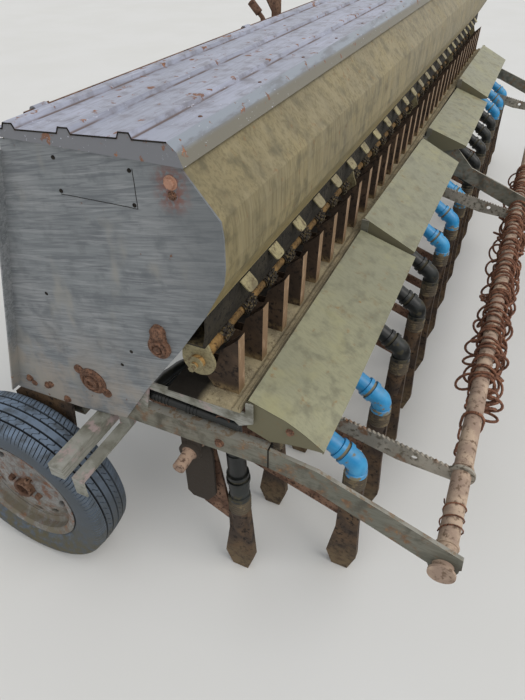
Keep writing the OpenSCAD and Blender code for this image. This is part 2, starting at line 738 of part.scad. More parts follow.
// Coulter boot: a round socket on a cone, and a tapered shoe that reaches the ground
module coulter_boot(i) {
    ground = -datum_z;
    w = 24;
    low = socket_top(i) - socket_h;
    cone_h = 100;
    translate([row_x(i), -rank_y(i), 0]) {
        translate([0, 0, low - cone_h]) cylinder(d1 = 40, d2 = socket_d - 2, h = cone_h);
        difference() {
            translate([0, 0, low]) cylinder(d = socket_d, h = socket_h);
            translate([0, 0, low + 20]) cylinder(d = tube_d - 6, h = socket_h);
        }
        across(-w / 2, w) polygon([[-28, low], [boot_front, low], [boot_front, -400], [48, ground + 60],
            [26, ground], [-24, ground], [-44, ground + 70], [-34, -380]]);
    }
}

module coulter_boots_front() {
    color("saddlebrown") at_datum() for (i = [0:2:rows - 1]) coulter_boot(i);
}

module coulter_boots_rear() {
    color("saddlebrown") at_datum() for (i = [1:2:rows - 1]) coulter_boot(i);
}

// Hangers of the front coulters, and arms and press rods of the rear ones
module coulter_arms() {
    bar_rear = 185;
    arm_h = 36;
    t = 10;
    eye_r = lift_d / 2 + 8;
    end_y = -rear_rank_y + boot_front;
    end_z = -330;
    start_z = -80;
    at_rod = start_z + (end_z - start_z) * (bar_rear - lift_shaft_y) / (bar_rear - end_y) + arm_h / 2;
    boot_y = -front_rank_y + boot_front;
    color("dimgray") at_datum() {
        for (i = [0:2:rows - 1]) across(row_x(i) - t / 2, t) difference() {
            union() {
                translate([lift_shaft_y, lift_shaft_z]) circle(r = eye_r);
                polygon([[lift_shaft_y + eye_r, lift_shaft_z], [-133, -145], [-164, -328], [boot_y, -372],
                    [boot_y, -322], [lift_shaft_y - 40, -145], [lift_shaft_y - eye_r, lift_shaft_z]]);
            }
            translate([lift_shaft_y, lift_shaft_z]) circle(d = lift_d + 2 * eps);
        }
        for (i = [1:2:rows - 1]) {
            across(row_x(i) - t / 2, t) polygon([[bar_rear, start_z - arm_h / 2],
                [bar_rear, start_z + arm_h / 2], [end_y, end_z + arm_h / 2], [end_y, end_z - arm_h / 2]]);
            translate([row_x(i), lift_shaft_y, at_rod + eps])
                cylinder(d = 9, h = lift_shaft_z - eye_r - at_rod + 2);
            across(row_x(i) - t / 2, t) translate([lift_shaft_y, lift_shaft_z]) difference() {
                circle(r = eye_r);
                circle(d = lift_d + 2 * eps);
            }
        }
    }
}

// Harrow arms: a bar at each end and one in the middle, bored for the pipe
module harrow_arms() {
    eye = pipe_d / 2 + 10;
    module tail(x, head) difference() {
        across(x, arm_t) union() {
            polygon(concat(head, [[-650, -14], [-rear_reach + 4, -84], [-rear_reach, -120], [-pipe_y, -150],
                [-640, -84], [-500, -28]]));
            translate([-pipe_y, -pipe_drop]) circle(r = eye);
        }
        bar_x(x - 1, x + arm_t + 1, -pipe_y, -pipe_drop, pipe_d + 0.4);
    }
    end_head = [[-383, beam_top - beam_h], [-383, beam_top], [-500, 40]];
    color("dimgray") at_datum() {
        tail(-half_w, end_head);
        tail(half_w - arm_t, end_head);
        tail(from_left(middle_arm_x), [[-190, 0], [-190, beam_top], [-330, beam_top], [-440, 108],
            [-470, 108], [-560, 20]]);
    }
}

// Bars with a toothed upper edge from the cross tube to the pipe
module serrated_bars() {
    t = 8;
    pitch = 13;
    first = [-461, -50];
    last = [-790, -113];
    fall = (last[1] - first[1]) / (first[0] - last[0]);
    count = floor((first[0] - last[0]) / pitch);
    teeth = [for (k = [0:count - 1]) for (e = [0, 1])
        [first[0] - (k + e * 0.6) * pitch, first[1] + fall * (k + e * 0.6) * pitch - e * 5]];
    color("rosybrown") at_datum() for (x = serrated_xs) difference() {
        across(from_left(x), t) union() {
            polygon(concat([[-190, beam_top - beam_h + 4], [-190, beam_top - 6], [-300, 20]], teeth,
                [[-pipe_y, -pipe_drop - 28], [-640, -pipe_drop - 16], [-461, -100], [-300, -24]]));
            translate([-pipe_y, -pipe_drop]) circle(r = pipe_d / 2 + 10);
        }
        bar_x(from_left(x) - 1, from_left(x) + t + 1, -pipe_y, -pipe_drop, pipe_d + 0.4);
        bar_x(from_left(x) - 1, from_left(x) + t + 1, -681, -118, 18);
    }
}

module harrow_pipe() {
    over = 16;
    color("rosybrown") at_datum() {
        difference() {
            bar_x(-half_w - over, half_w + over, -pipe_y, -pipe_drop, pipe_d);
            bar_x(-half_w - over - 1, half_w + over + 1, -pipe_y, -pipe_drop, pipe_d - 8);
        }
        for (x = [-half_w - over - 6, half_w + over]) bar_x(x, x + 6, -pipe_y, -pipe_drop, pipe_d + 14);
    }
}

// Chains that hang from the harrow pipe: an eight-cornered loop round the pipe, then square links
module harrow_chains() {
    wire = link_wire;
    inner = 50;
    inner_w = 28;
    span = 220;
    links = 3;
    loop = pipe_d + 2 * eps;
    loop_h = pipe_d + 30;
    top = loop / 2;
    // outline of the loop, whose inside hangs from z = 0, grown by out
    function corners(out) = let(a = loop / 2 + out, c = 0.29 * (loop + 2 * out), low = -loop_h - out)
        [[-a, low + c], [-a + c, low], [a - c, low], [a, low + c], [a, out - c], [a - c, out], [-a + c, out],
            [-a, out - c]];
    module upright() rotate([90, 0, 0]) translate([0, 0, -wire / 2]) linear_extrude(wire) children();
    module link() upright() difference() {
        translate([-inner_w / 2 - wire, -inner - wire]) square([inner_w + 2 * wire, inner + 2 * wire]);
        translate([-inner_w / 2, -inner]) square([inner_w, inner]);
    }
    color("sienna") at_datum() for (k = [0:9]) translate([from_left(480 + k * span), -pipe_y, -pipe_drop]) {
        rotate([0, 0, 90]) translate([0, 0, top]) upright() difference() {
            polygon(corners(wire));
            polygon(corners(0));
        }
        for (j = [1:links])
            rotate([0, 0, j % 2 == 0 ? 90 : 0])
                translate([0, 0, top - loop_h + eps - (j - 1) * (inner - eps)]) link();
    }
}

wheel_mid = half_w + plate_t + tyre_gap + tyre_w / 2;
bead_r = rim_d / 2 - 17;
rim_face = tyre_w / 2 - 12; // outer faces of the rim flanges from the wheel's middle

// Places a wheel's own frame, whose +Z points outwards
module wheel_at(side) at_datum() translate([side * wheel_mid, axle_y, -axle_drop])
    rotate([0, side * 90, 0]) children();

// Tyre as a closed ring on the rim; outline as [radius, outward]
module tyre(side) {
    r = tyre_r;
    h = tyre_w / 2;
    half = [[bead_r + eps, rim_face - 12], [r - 50, h], [r, h - 32]];
    color("dimgray") wheel_at(side) rotate_extrude($fn = 64)
        polygon(concat(half, [for (i = [len(half) - 1:-1:0]) [half[i][0], -half[i][1]]]));
}

// Rim with its dished disc and hub, bored for the stub axle
module rim(side) {
    well = bead_r - 22;
    sheet = 4;
    hub_d = 92;
    color("rosybrown") wheel_at(side) difference() {
        union() {
            rotate_extrude($fn = 64) {
                polygon([[rim_d / 2, rim_face], [rim_d / 2, rim_face - 4], [bead_r, rim_face - 8],
                    [bead_r, rim_face - 26], [well, rim_face - 36], [well, -rim_face + 30],
                    [bead_r, -rim_face + 20], [bead_r, -rim_face + 8], [rim_d / 2, -rim_face + 4],
                    [rim_d / 2, -rim_face], [bead_r - sheet, -rim_face], [bead_r - sheet, -rim_face + 22],
                    [well - sheet, -rim_face + 32], [well - sheet, rim_face - 38],
                    [bead_r - sheet, rim_face - 28], [bead_r - sheet, rim_face]]);
                polygon([[well - 2, rim_face - 38], [100, rim_face - 30], [62, rim_face - 28],
                    [56, rim_face - 24], [33, rim_face - 24], [33, rim_face - 30], [53, rim_face - 30],
                    [60, rim_face - 34], [102, rim_face - 36], [well - 2, rim_face - 44]]);
            }
            translate([0, 0, -rim_face - 4]) cylinder(d = hub_d, h = 2 * rim_face - 25);
        }
        translate([0, 0, -rim_face - 5]) cylinder(d = axle_d + 2 * eps, h = 2 * rim_face + 10);
    }
}

module tyre_left() tyre(LEFT);
module tyre_right() tyre(RIGHT);
module rim_left() rim(LEFT);
module rim_right() rim(RIGHT);

end_plate_left();
end_plate_right();
hopper_rear_wall();
hopper_front_wall();
metering_trough();
pull_tabs();
lid_hinge_rod();
metering_housings();
seed_chutes();
funnel_plate();
shaft_brackets();
tray_brackets();
side_arm_left();
side_arm_right();
side_beam_left();
side_beam_right();
rear_cross_tube();
front_beam();
coulter_bar();
lift_shaft();
wheel_leg_left();
wheel_leg_right();
side_bracket_left();
side_bracket_right();
headstock();
front_levers();
pressure_tubes();
funnels();
seed_tubes_blue();
seed_tubes_dark();
coulter_arms();
coulter_boots_front();
coulter_boots_rear();
harrow_arms();
serrated_bars();
harrow_pipe();
harrow_chains();
lid();
metering_shaft();
tray_1();
tray_2();
tray_3();
tray_4();
tyre_left();
tyre_right();
rim_left();
rim_right();
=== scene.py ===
"""Dresses the seed drill: a finish for every CAD piece, and finer pieces over or beside some of them.

Sizes are millimetres from the datum, the lower rear corner of the end plates, with x from the
machine's middle to its right, y forward in travel and z up. A piece turns to metres as its mesh is made.
"""
from __future__ import annotations

import logging
import math
import sys
from dataclasses import dataclass
from enum import Enum
from typing import Any, Sequence

import bmesh
import bpy
import numpy as np
from mathutils import Matrix

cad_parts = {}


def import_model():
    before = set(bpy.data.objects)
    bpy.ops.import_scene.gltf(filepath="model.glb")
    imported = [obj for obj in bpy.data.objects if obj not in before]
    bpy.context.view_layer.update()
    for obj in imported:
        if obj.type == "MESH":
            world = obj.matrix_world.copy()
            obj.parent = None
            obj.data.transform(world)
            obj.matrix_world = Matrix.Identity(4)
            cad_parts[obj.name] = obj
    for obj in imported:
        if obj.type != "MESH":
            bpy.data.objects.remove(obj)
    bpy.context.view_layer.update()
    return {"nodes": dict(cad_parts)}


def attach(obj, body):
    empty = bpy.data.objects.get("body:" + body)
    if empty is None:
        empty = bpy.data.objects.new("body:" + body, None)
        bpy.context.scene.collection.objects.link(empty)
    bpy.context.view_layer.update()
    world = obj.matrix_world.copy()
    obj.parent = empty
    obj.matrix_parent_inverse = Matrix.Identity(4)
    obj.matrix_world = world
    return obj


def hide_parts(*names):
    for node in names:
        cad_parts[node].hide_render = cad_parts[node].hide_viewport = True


Array = np.ndarray
Point = Sequence[float]
Socket = bpy.types.NodeSocket
Material = bpy.types.Material
log = logging.getLogger("seed_drill")

MM = 0.001
DATUM = np.array([0.0, 116.5, 594.0])
HALF_W = 2000.0
ROWS = 32
PITCH = 125.0
FRONT_ROWS = np.arange(0, ROWS, 2)
REAR_ROWS = np.arange(1, ROWS, 2)
LEFT, RIGHT, UP = (-1.0, 0.0, 0.0), (1.0, 0.0, 0.0), (0.0, 0.0, 1.0)
ORIGIN = (0.0, 0.0, 0.0)
# x of the left end plate's outer face, and of the black tube beside the left side plate
PLATE_X = -HALF_W - 4.0
TUBE_X = -HALF_W + 25.3
# [y, z] of the foot of each rib on the lid, at the rib's middle
LID_RIBS = ((115.0, 690.1), (-8.5, 698.4), (-132.0, 706.7))
# [y, z] of the metering shaft
SHAFT = (-217.0, 252.0)


class Axis(Enum):
    """Axes of the shared frame, as places in a vector."""

    X = 0
    Y = 1
    Z = 2


def row_x(rows: Array) -> Array:
    """x of seed rows counted from the left, in millimetres."""
    return (rows - (ROWS - 1) / 2) * PITCH


def from_left(x: float) -> float:
    """x of a place measured from the left end plate, in millimetres."""
    return x - HALF_W


def metres(points: Array) -> Array:
    """Points in metres in the shared frame, from millimetres about the datum."""
    return (np.asarray(points, float) + DATUM) * MM


def unit(vectors: Array) -> Array:
    """Vectors along the last axis, each made one long."""
    vectors = np.asarray(vectors, float)
    return vectors / np.maximum(np.linalg.norm(vectors, axis=-1, keepdims=True), 1e-12)


# Forms


@dataclass
class Shell:
    """One or more forms as arrays.

    Attributes:
        points: Corners in millimetres from the datum, one a row.
        faces: For each number of corners, an array of faces with the indices of their points.
        tone: A number from 0 to 1 at each point that a finish may read as its own mark.
    """

    points: Array
    faces: dict[int, Array]
    tone: Array

    def moved(self, offset: Point) -> "Shell":
        """The same forms shifted by an offset in millimetres."""
        return Shell(self.points + np.asarray(offset, float), self.faces, self.tone)

    def turned(self, matrix: Array) -> "Shell":
        """The same forms turned about the origin by a 3 by 3 matrix."""
        return Shell(self.points @ np.asarray(matrix).T, self.faces, self.tone)

    def repeated(self, offsets: Array) -> "Shell":
        """Copies at every offset.

        Args:
            offsets: One offset a row, in millimetres.

        Returns:
            All copies as one shell; copy k's indices are the first one's plus k times its points.
        """
        offsets = np.atleast_2d(offsets)
        count, size = len(offsets), len(self.points)
        points = (self.points[None] + offsets[:, None]).reshape(-1, 3)
        step = (np.arange(count) * size)[:, None, None]
        faces = {k: (f[None] + step).reshape(-1, k) for k, f in self.faces.items()}
        return Shell(points, faces, np.tile(self.tone, count))

    def at_x(self, x: Array) -> "Shell":
        """Copies shifted by each of the given distances along x."""
        return self.repeated(np.column_stack([x, 0 * x, 0 * x]))

    def mirrored(self) -> "Shell":
        """The forms on the other side of x = 0, with their faces turned the right way again."""
        faces = {k: f[:, ::-1] for k, f in self.faces.items()}
        return Shell(self.points * np.array([-1.0, 1.0, 1.0]), faces, self.tone)


def joined(shells: Sequence[Shell]) -> Shell:
    """Several shells as one: points one after another, indices raised by what came before.

    Args:
        shells: Shells to bring together.

    Returns:
        One shell with all their points and faces.
    """
    starts = np.cumsum([0] + [len(s.points) for s in shells[:-1]])
    sizes = sorted({k for s in shells for k in s.faces})
    faces = {k: np.concatenate([s.faces[k] + a for s, a in zip(shells, starts) if k in s.faces])
             for k in sizes}
    return Shell(np.concatenate([s.points for s in shells]), faces, np.concatenate([s.tone for s in shells]))


def both_ends(left: Shell) -> Shell:
    """A form at the machine's left end together with its mirror image at the right end."""
    return joined([left, left.mirrored()])


def grid(points: Array, loop_u: bool = False, loop_v: bool = False, tone: Array | None = None) -> Shell:
    """Surface over a grid: each cell between lines u, u + 1 and v, v + 1 is one face.

    Args:
        points: Array of shape (lines u, lines v, 3).
        loop_u: Whether the last line u joins the first.
        loop_v: Whether the last line v joins the first.
        tone: Mark for each grid point, or None for zero.

    Returns:
        The surface as a shell.
    """
    n_u, n_v = points.shape[:2]
    index = np.arange(n_u * n_v).reshape(n_u, n_v)
    u = np.arange(n_u if loop_u else n_u - 1)
    v = np.arange(n_v if loop_v else n_v - 1)
    a = index[np.ix_(u, v)]
    b = index[np.ix_((u + 1) % n_u, v)]
    c = index[np.ix_((u + 1) % n_u, (v + 1) % n_v)]
    d = index[np.ix_(u, (v + 1) % n_v)]
    marks = np.zeros(n_u * n_v) if tone is None else np.asarray(tone, float).reshape(-1)
    return Shell(points.reshape(-1, 3), {4: np.stack([a, b, c, d], -1).reshape(-1, 4)}, marks)


def slab(lines: Array) -> Shell:
    """Closed skin of a bent sheet, over lines that run out along one face and back along the other.

    Args:
        lines: Array of shape (lines, 2 n, 3). Point k of a line lies across from point 2 n - 1 - k.

    Returns:
        A grid over the lines, and n - 1 faces over each end, between the two halves of its line.
    """
    skin = grid(lines, loop_v=True)
    count, size = lines.shape[:2]
    k = np.arange(size // 2 - 1)
    end = np.stack([k, k + 1, size - 2 - k, size - 1 - k], -1)
    faces = np.concatenate([skin.faces[4], end[:, ::-1], end + (count - 1) * size])
    return Shell(skin.points, {4: faces}, skin.tone)


def fan(ring: Array) -> Shell:
    """Cap on a ring of points: triangles from each edge to the ring's middle.

    Args:
        ring: Points of the ring, one a row.

    Returns:
        The cap as a shell.
    """
    n = len(ring)
    index = np.arange(n)
    faces = np.stack([index, (index + 1) % n, np.full(n, n)], -1)
    return Shell(np.vstack([ring, ring.mean(0)]), {3: faces}, np.zeros(n + 1))


def tube(path: Array, radius: float | Array, sides: int, square_to: Point,
         closed: bool = False, tone: Array | None = None) -> Shell:
    """Round bar or hose: a circle carried along a path, always square to it.

    Args:
        path: Points of the middle line, one a row.
        radius: One radius, or one for each point of the path.
        sides: Corners of the circle.
        square_to: A direction that the path's own plane is square to.
        closed: Whether the path's end joins its start.
        tone: Mark for each point of the path, or None.

    Returns:
        A closed shell, its ends capped where the path is open.
    """
    path = np.asarray(path, float)
    ahead = np.roll(path, -1, 0) - np.roll(path, 1, 0) if closed else np.gradient(path, axis=0)
    tangent = unit(ahead)
    across = unit(np.cross(np.asarray(square_to, float), tangent))
    up = np.cross(tangent, across)
    angle = np.linspace(0, 2 * np.pi, sides, endpoint=False)[None, :, None]
    reach = np.broadcast_to(np.asarray(radius, float), (len(path),))[:, None, None]
    rings = path[:, None] + reach * (np.cos(angle) * across[:, None] + np.sin(angle) * up[:, None])
    marks = None if tone is None else np.repeat(tone, sides)
    body = grid(rings, loop_u=closed, loop_v=True, tone=marks)
    return body if closed else joined([body, fan(rings[0]), fan(rings[-1])])


def turned_part(outline: Sequence[Point], centre: Point, axis: Point,
                sides: int, ring: bool = False) -> Shell:
    """Lathe form: an outline of [radius, along] turned about an axis.

    Args:
        outline: Points of the outline. A solid part starts and ends at radius 0.
        centre: Where along = 0 lies on the axis.
        axis: Direction of the axis.
        sides: Steps of the turn; 6 gives a hexagon head.
        ring: Whether the outline is a loop off the axis, as for a washer.

    Returns:
        The turned shell.
    """
    shape = np.asarray(outline, float)
    axis = unit(axis)
    first = unit(np.cross(axis, [0.0, 0.0, 1.0] if abs(axis[2]) < 0.9 else [0.0, 1.0, 0.0]))
    second = np.cross(axis, first)
    angle = np.linspace(0, 2 * np.pi, sides, endpoint=False)[None, :, None]
    spoke = np.cos(angle) * first + np.sin(angle) * second
    points = np.asarray(centre, float) + shape[:, 1, None, None] * axis + shape[:, 0, None, None] * spoke
    return grid(points, loop_u=ring, loop_v=True)


def plate_across(outline: Sequence[Point], x0: float, x1: float) -> Shell:
    """Flat plate square to x: its outline [y, z] at x0 and x1, joined by edge faces.

    Args:
        outline: Corners [y, z] in order.
        x0: x of one face.
        x1: x of the other.

    Returns:
        The plate as a closed shell.
    """
    shape = np.asarray(outline, float)
    n = len(shape)
    points = np.vstack([in_plane(x, shape) for x in (x0, x1)])
    index = np.arange(n)
    after = (index + 1) % n
    sides = np.stack([index, after, after + n, index + n], -1)
    caps = np.stack([index[::-1], index + n])
    faces = {4: np.concatenate([sides, caps])} if n == 4 else {4: sides, n: caps}
    return Shell(points, faces, np.zeros(2 * n))


def box_form(low: Point, high: Point) -> Shell:
    """Block between two corners."""
    (x0, y0, z0), (x1, y1, z1) = low, high
    return plate_across([[y0, z0], [y1, z0], [y1, z1], [y0, z1]], x0, x1)


def hex_bolt(place: Point, axis: Point, size: float, head: float = 0.65,
             washer: bool = True) -> Shell:
    """Hexagon head on a washer: a six-sided turned part with its rim chamfered.

    Args:
        place: Middle of the seat.
        axis: Direction out of the seat.
        size: Width over the corners, in millimetres.
        head: Height of the head as a share of its radius.
        washer: Whether a washer lies under it.

    Returns:
        The fastener as one shell.
    """
    r = size / 2
    base = 1.6 if washer else 0.0
    h = base + head * r
    parts = [turned_part([[0, -0.5], [r, -0.5], [r, h - 0.14 * r], [0.86 * r, h], [0, h]], place, axis, 6)]
    if washer:
        edge = [[0, -0.5], [1.3 * r, -0.5], [1.3 * r, base - 0.3], [1.24 * r, base], [0, base]]
        parts.append(turned_part(edge, place, axis, 20))
    return joined(parts)


def bolts_at(places: Sequence[Point], axis: Point, size: float,
             washer: bool = True) -> Shell:
    """Like bolts at several places, all with the same axis."""
    return hex_bolt(ORIGIN, axis, size, washer=washer).repeated(np.asarray(places, float))


def ring_path(width: float, height: float, steps: int) -> Array:
    """Stadium-shaped loop in the x–z plane: two half circles joined by straight sides.

    Args:
        width: Width over the middle of the wire.
        height: Height over the middle of the wire.
        steps: Points on each half circle.

    Returns:
        Points of the loop, its top at z = 0.
    """
    r = width / 2
    angle = np.linspace(0, np.pi, steps)
    top = np.column_stack([r * np.cos(angle), np.zeros(steps), -r + r * np.sin(angle)])
    low = np.column_stack([-r * np.cos(angle), np.zeros(steps), -height + r - r * np.sin(angle)])
    return np.vstack([top, low])


def rotation(axis: Axis, degrees: float) -> Array:
    """Matrix of a turn about an axis: it mixes the next two axes, as x and y for a turn about z.

    Args:
        axis: Axis of the turn.
        degrees: Its angle.

    Returns:
        A 3 by 3 matrix.
    """
    a, b = (axis.value + 1) % 3, (axis.value + 2) % 3
    c, s = math.cos(math.radians(degrees)), math.sin(math.radians(degrees))
    matrix = np.eye(3)
    matrix[[a, a, b, b], [a, b, a, b]] = [c, -s, s, c]
    return matrix


def in_plane(x: float, shape: Array) -> Array:
    """Points [x, y, z] of a flat shape [y, z], all at one x."""
    return np.column_stack([np.full(len(shape), x), shape])


def round_x(x: Array | float, radius: Array | float, angle: Array, centre: Point = (0.0, 0.0)) -> Array:
    """Points at a radius and an angle round a line along x that goes through centre, [y, z]."""
    y, z = centre[0] + radius * np.cos(angle), centre[1] + radius * np.sin(angle)
    return np.stack(np.broadcast_arrays(x, y, z), -1)


def bumps(points: Array, size: float, seed: int) -> Array:
    """Smooth uneven field from about -1 to 1: six sine waves in directions that the seed sets.

    Args:
        points: Points, one a row.
        size: Length of the longest wave in the unit of the points.
        seed: Number that sets the waves.

    Returns:
        One value for each point.
    """
    rng = np.random.default_rng(seed)
    waves = unit(rng.normal(size=(6, 3))) * (2 * np.pi / size) * rng.uniform(1.0, 2.6, (6, 1))
    return np.sin(points @ waves.T + rng.uniform(0, 6.28, 6)).mean(-1) * 1.4


# Finishes


def linear(colour: str) -> tuple[float, float, float, float]:
    """An sRGB hex colour as linear RGBA.

    Args:
        colour: Six hex digits after a #.

    Returns:
        Red, green, blue and alpha, each from 0 to 1.
    """
    parts = [int(colour[i:i + 2], 16) / 255 for i in (1, 3, 5)]
    red, green, blue = [c / 12.92 if c <= 0.04045 else ((c + 0.055) / 1.055) ** 2.4 for c in parts]
    return (red, green, blue, 1.0)


def add(tree: bpy.types.NodeTree, kind: str, inputs: dict[Any, Any] | None = None,
        **settings: Any) -> bpy.types.Node:
    """Adds a node with its settings and links.

    Args:
        tree: Node tree of a material or world.
        kind: Type name of the node.
        inputs: Value or socket for each input, by name or number.
        **settings: Properties of the node.

    Returns:
        The node.
    """
    node = tree.nodes.new(kind)
    for key, value in settings.items():
        setattr(node, key, value)
    for key, value in (inputs or {}).items():
        if isinstance(value, Socket):
            tree.links.new(value, node.inputs[key])
        else:
            node.inputs[key].default_value = value
    return node


class Surface:
    """A material as it grows: colour, roughness and height, each covered by one layer after another."""

    def __init__(self, name: str, base: str, roughness: float, metallic: float = 0.0) -> None:
        """Starts a material with its bare colour and roughness.

        Args:
            name: Name of the real material.
            base: sRGB hex colour.
            roughness: Roughness from 0 to 1.
            metallic: 1 for bare metal, 0 for paint, plastic, rust or rubber.
        """
        self.material = bpy.data.materials.new(name)
        self.material.use_nodes = True
        self.tree = self.material.node_tree
        self.tree.nodes.clear()
        self.colour: Socket | tuple[float, ...] = linear(base)
        self.roughness: Socket | float = roughness
        self.metallic = metallic
        self.height: Socket | None = None
        self.place = add(self.tree, "ShaderNodeTexCoord").outputs["Object"]
        self.material.diffuse_color = linear(base)

    def grain(self, size: float, low: float, high: float, stretch: tuple[float, float, float] = (1, 1, 1),
              turn: tuple[float, float, float] = (0, 0, 0), detail: float = 3.0, seed: float = 0.0,
              wave: float = 0.0) -> Socket:
        """Mask of uneven patches from noise.

        Args:
            size: Width of a patch in millimetres.
            low: Noise value below which the mask is 0.
            high: Noise value above which the mask is 1.
            stretch: How many times longer a patch is along each axis.
            turn: Turn of the pattern about each axis in degrees.
            detail: Octaves of finer noise.
            seed: Shift that makes the pattern another one.
            wave: How much the pattern is bent by itself.

        Returns:
            The mask's socket.
        """
        scale = tuple(1000.0 / (size * s) for s in stretch)
        turned = add(self.tree, "ShaderNodeMapping",
                     {"Vector": self.place, "Rotation": tuple(math.radians(t) for t in turn)})
        spot = add(self.tree, "ShaderNodeMapping",
                   {"Vector": turned.outputs[0], "Scale": scale, "Location": (seed, seed * 0.7, -seed)})
        noise = add(self.tree, "ShaderNodeTexNoise",
                    {"Vector": spot.outputs[0], "Scale": 1.0, "Detail": detail, "Roughness": 0.6,
                     "Distortion": wave})
        return add(self.tree, "ShaderNodeMapRange",
                   {"Value": noise.outputs[0], "From Min": low, "From Max": high},
                   interpolation_type="SMOOTHSTEP").outputs[0]

    def band(self, axis: Axis, start: float, end: float) -> Socket:
        """Mask that runs from 0 at start to 1 at end along an axis, in millimetres from the datum.

        Args:
            axis: Axis along which it runs.
            start: Place where the mask is 0.
            end: Place where it is 1; less than start for a mask that falls.

        Returns:
            The mask's socket.
        """
        split = add(self.tree, "ShaderNodeSeparateXYZ", {0: self.place})
        shift = DATUM[axis.value]
        return add(self.tree, "ShaderNodeMapRange",
                   {"Value": split.outputs[axis.value], "From Min": (start + shift) * MM,
                    "From Max": (end + shift) * MM}, interpolation_type="SMOOTHSTEP").outputs[0]

    def facing(self, axis: Axis, low: float, high: float) -> Socket:
        """Mask of how far the surface faces along an axis: 0 where its normal has low there, 1 at high.

        Args:
            axis: Axis that the normal is measured along.
            low: The normal's part along it where the mask is 0.
            high: That part where the mask is 1.

        Returns:
            The mask's socket.
        """
        normal = add(self.tree, "ShaderNodeNewGeometry").outputs["True Normal"]
        split = add(self.tree, "ShaderNodeSeparateXYZ", {0: normal})
        return add(self.tree, "ShaderNodeMapRange",
                   {"Value": split.outputs[axis.value], "From Min": low, "From Max": high}).outputs[0]

    def near(self, places: Sequence[Point], reach: float) -> Socket:
        """Mask round places.

        Args:
            places: Points in millimetres from the datum.
            reach: Distance in millimetres at which the mask ends.

        Returns:
            Socket that is 1 at the places and 0 beyond the reach.
        """
        gaps = [add(self.tree, "ShaderNodeVectorMath", {0: self.place, 1: tuple(spot)},
                    operation="DISTANCE").outputs["Value"] for spot in metres(np.asarray(places, float))]
        return add(self.tree, "ShaderNodeMapRange",
                   {"Value": self.folded(gaps, "MINIMUM"), "From Min": reach * MM,
                    "From Max": 0.15 * reach * MM}, interpolation_type="SMOOTHSTEP").outputs[0]

    def round_line(self, y: float, z: float, full: float, none: float) -> Socket:
        """Mask round a line parallel to x through [y, z].

        Args:
            y: Place of the line in millimetres from the datum.
            z: Its height above the datum.
            full: Distance in millimetres at which the mask is 1.
            none: Distance at which it is 0; less than full for a mask of what lies outside.

        Returns:
            The mask's socket.
        """
        centre = metres(np.array([0.0, y, z]))
        flat = add(self.tree, "ShaderNodeVectorMath", {0: self.place, 1: (0.0, 1.0, 1.0)},
                   operation="MULTIPLY")
        gap = add(self.tree, "ShaderNodeVectorMath", {0: flat.outputs[0], 1: (0.0, centre[1], centre[2])},
                  operation="DISTANCE").outputs["Value"]
        return add(self.tree, "ShaderNodeMapRange",
                   {"Value": gap, "From Min": none * MM, "From Max": full * MM},
                   interpolation_type="SMOOTHSTEP").outputs[0]

    def tone(self) -> Socket:
        """The mark that the piece's own points carry."""
        return add(self.tree, "ShaderNodeAttribute", attribute_name="tone").outputs["Fac"]

    def folded(self, masks: Sequence[Socket | float], operation: str) -> Socket:
        """Masks brought together one after another by an operation of two.

        Args:
            masks: Masks to bring together.
            operation: Name of the operation.

        Returns:
            The last result's socket.
        """
        result = masks[0]
        for other in masks[1:]:
            result = add(self.tree, "ShaderNodeMath", {0: result, 1: other}, operation=operation).outputs[0]
        return result

    def meet(self, *masks: Socket | float) -> Socket:
        """Mask of where all the given masks hold: their product."""
        return self.folded(masks, "MULTIPLY")

    def any_of(self, *masks: Socket) -> Socket:
        """Mask of where at least one of the given masks holds: the highest."""
        return self.folded(masks, "MAXIMUM")

    def grown(self, mask: Socket, extra: Socket, share: float) -> Socket:
        """A patchy mask that swells where another holds: the sum of both, cut to a sharp edge.

        Args:
            mask: The patchy mask.
            extra: Where it swells.
            share: How much it swells there.

        Returns:
            The mask's socket.
        """
        total = add(self.tree, "ShaderNodeMath", {0: extra, 1: share, 2: mask}, operation="MULTIPLY_ADD")
        return add(self.tree, "ShaderNodeMapRange",
                   {"Value": total.outputs[0], "From Min": 0.55, "From Max": 0.85},
                   interpolation_type="SMOOTHSTEP").outputs[0]

    def cover(self, mask: Socket, colour: str | None = None, roughness: float | None = None,
              lift: float = 0.0) -> "Surface":
        """Lays a coat where a mask holds.

        Args:
            mask: Where the coat lies.
            colour: Its sRGB hex colour, or None to keep what is there.
            roughness: Its roughness, or None.
            lift: How far it stands up, in millimetres; negative sinks in.

        Returns:
            The surface itself.
        """
        if colour is not None:
            self.colour = add(self.tree, "ShaderNodeMix", {0: mask, 6: self.colour, 7: linear(colour)},
                              data_type="RGBA").outputs[2]
        if roughness is not None:
            self.roughness = add(self.tree, "ShaderNodeMix", {0: mask, 2: self.roughness, 3: roughness},
                                 data_type="FLOAT").outputs[0]
        if lift:
            self.height = add(self.tree, "ShaderNodeMath",
                              {0: mask, 1: lift * MM, 2: 0.0 if self.height is None else self.height},
                              operation="MULTIPLY_ADD").outputs[0]
        return self

    def done(self, specular: float = 0.5) -> Material:
        """Links the layers to the shader and returns the material.

        Args:
            specular: Level of the surface's mirror-like shine, 0.5 for most paints.

        Returns:
            The finished material.
        """
        inputs: dict[Any, Any] = {"Base Color": self.colour, "Roughness": self.roughness,
                                  "Metallic": self.metallic, "Specular IOR Level": specular}
        if self.height is not None:
            inputs["Normal"] = add(self.tree, "ShaderNodeBump",
                                   {"Strength": 1.0, "Distance": 1.0, "Height": self.height}).outputs[0]
        shader = add(self.tree, "ShaderNodeBsdfPrincipled", inputs)
        add(self.tree, "ShaderNodeOutputMaterial", {0: shader.outputs[0]})
        return self.material


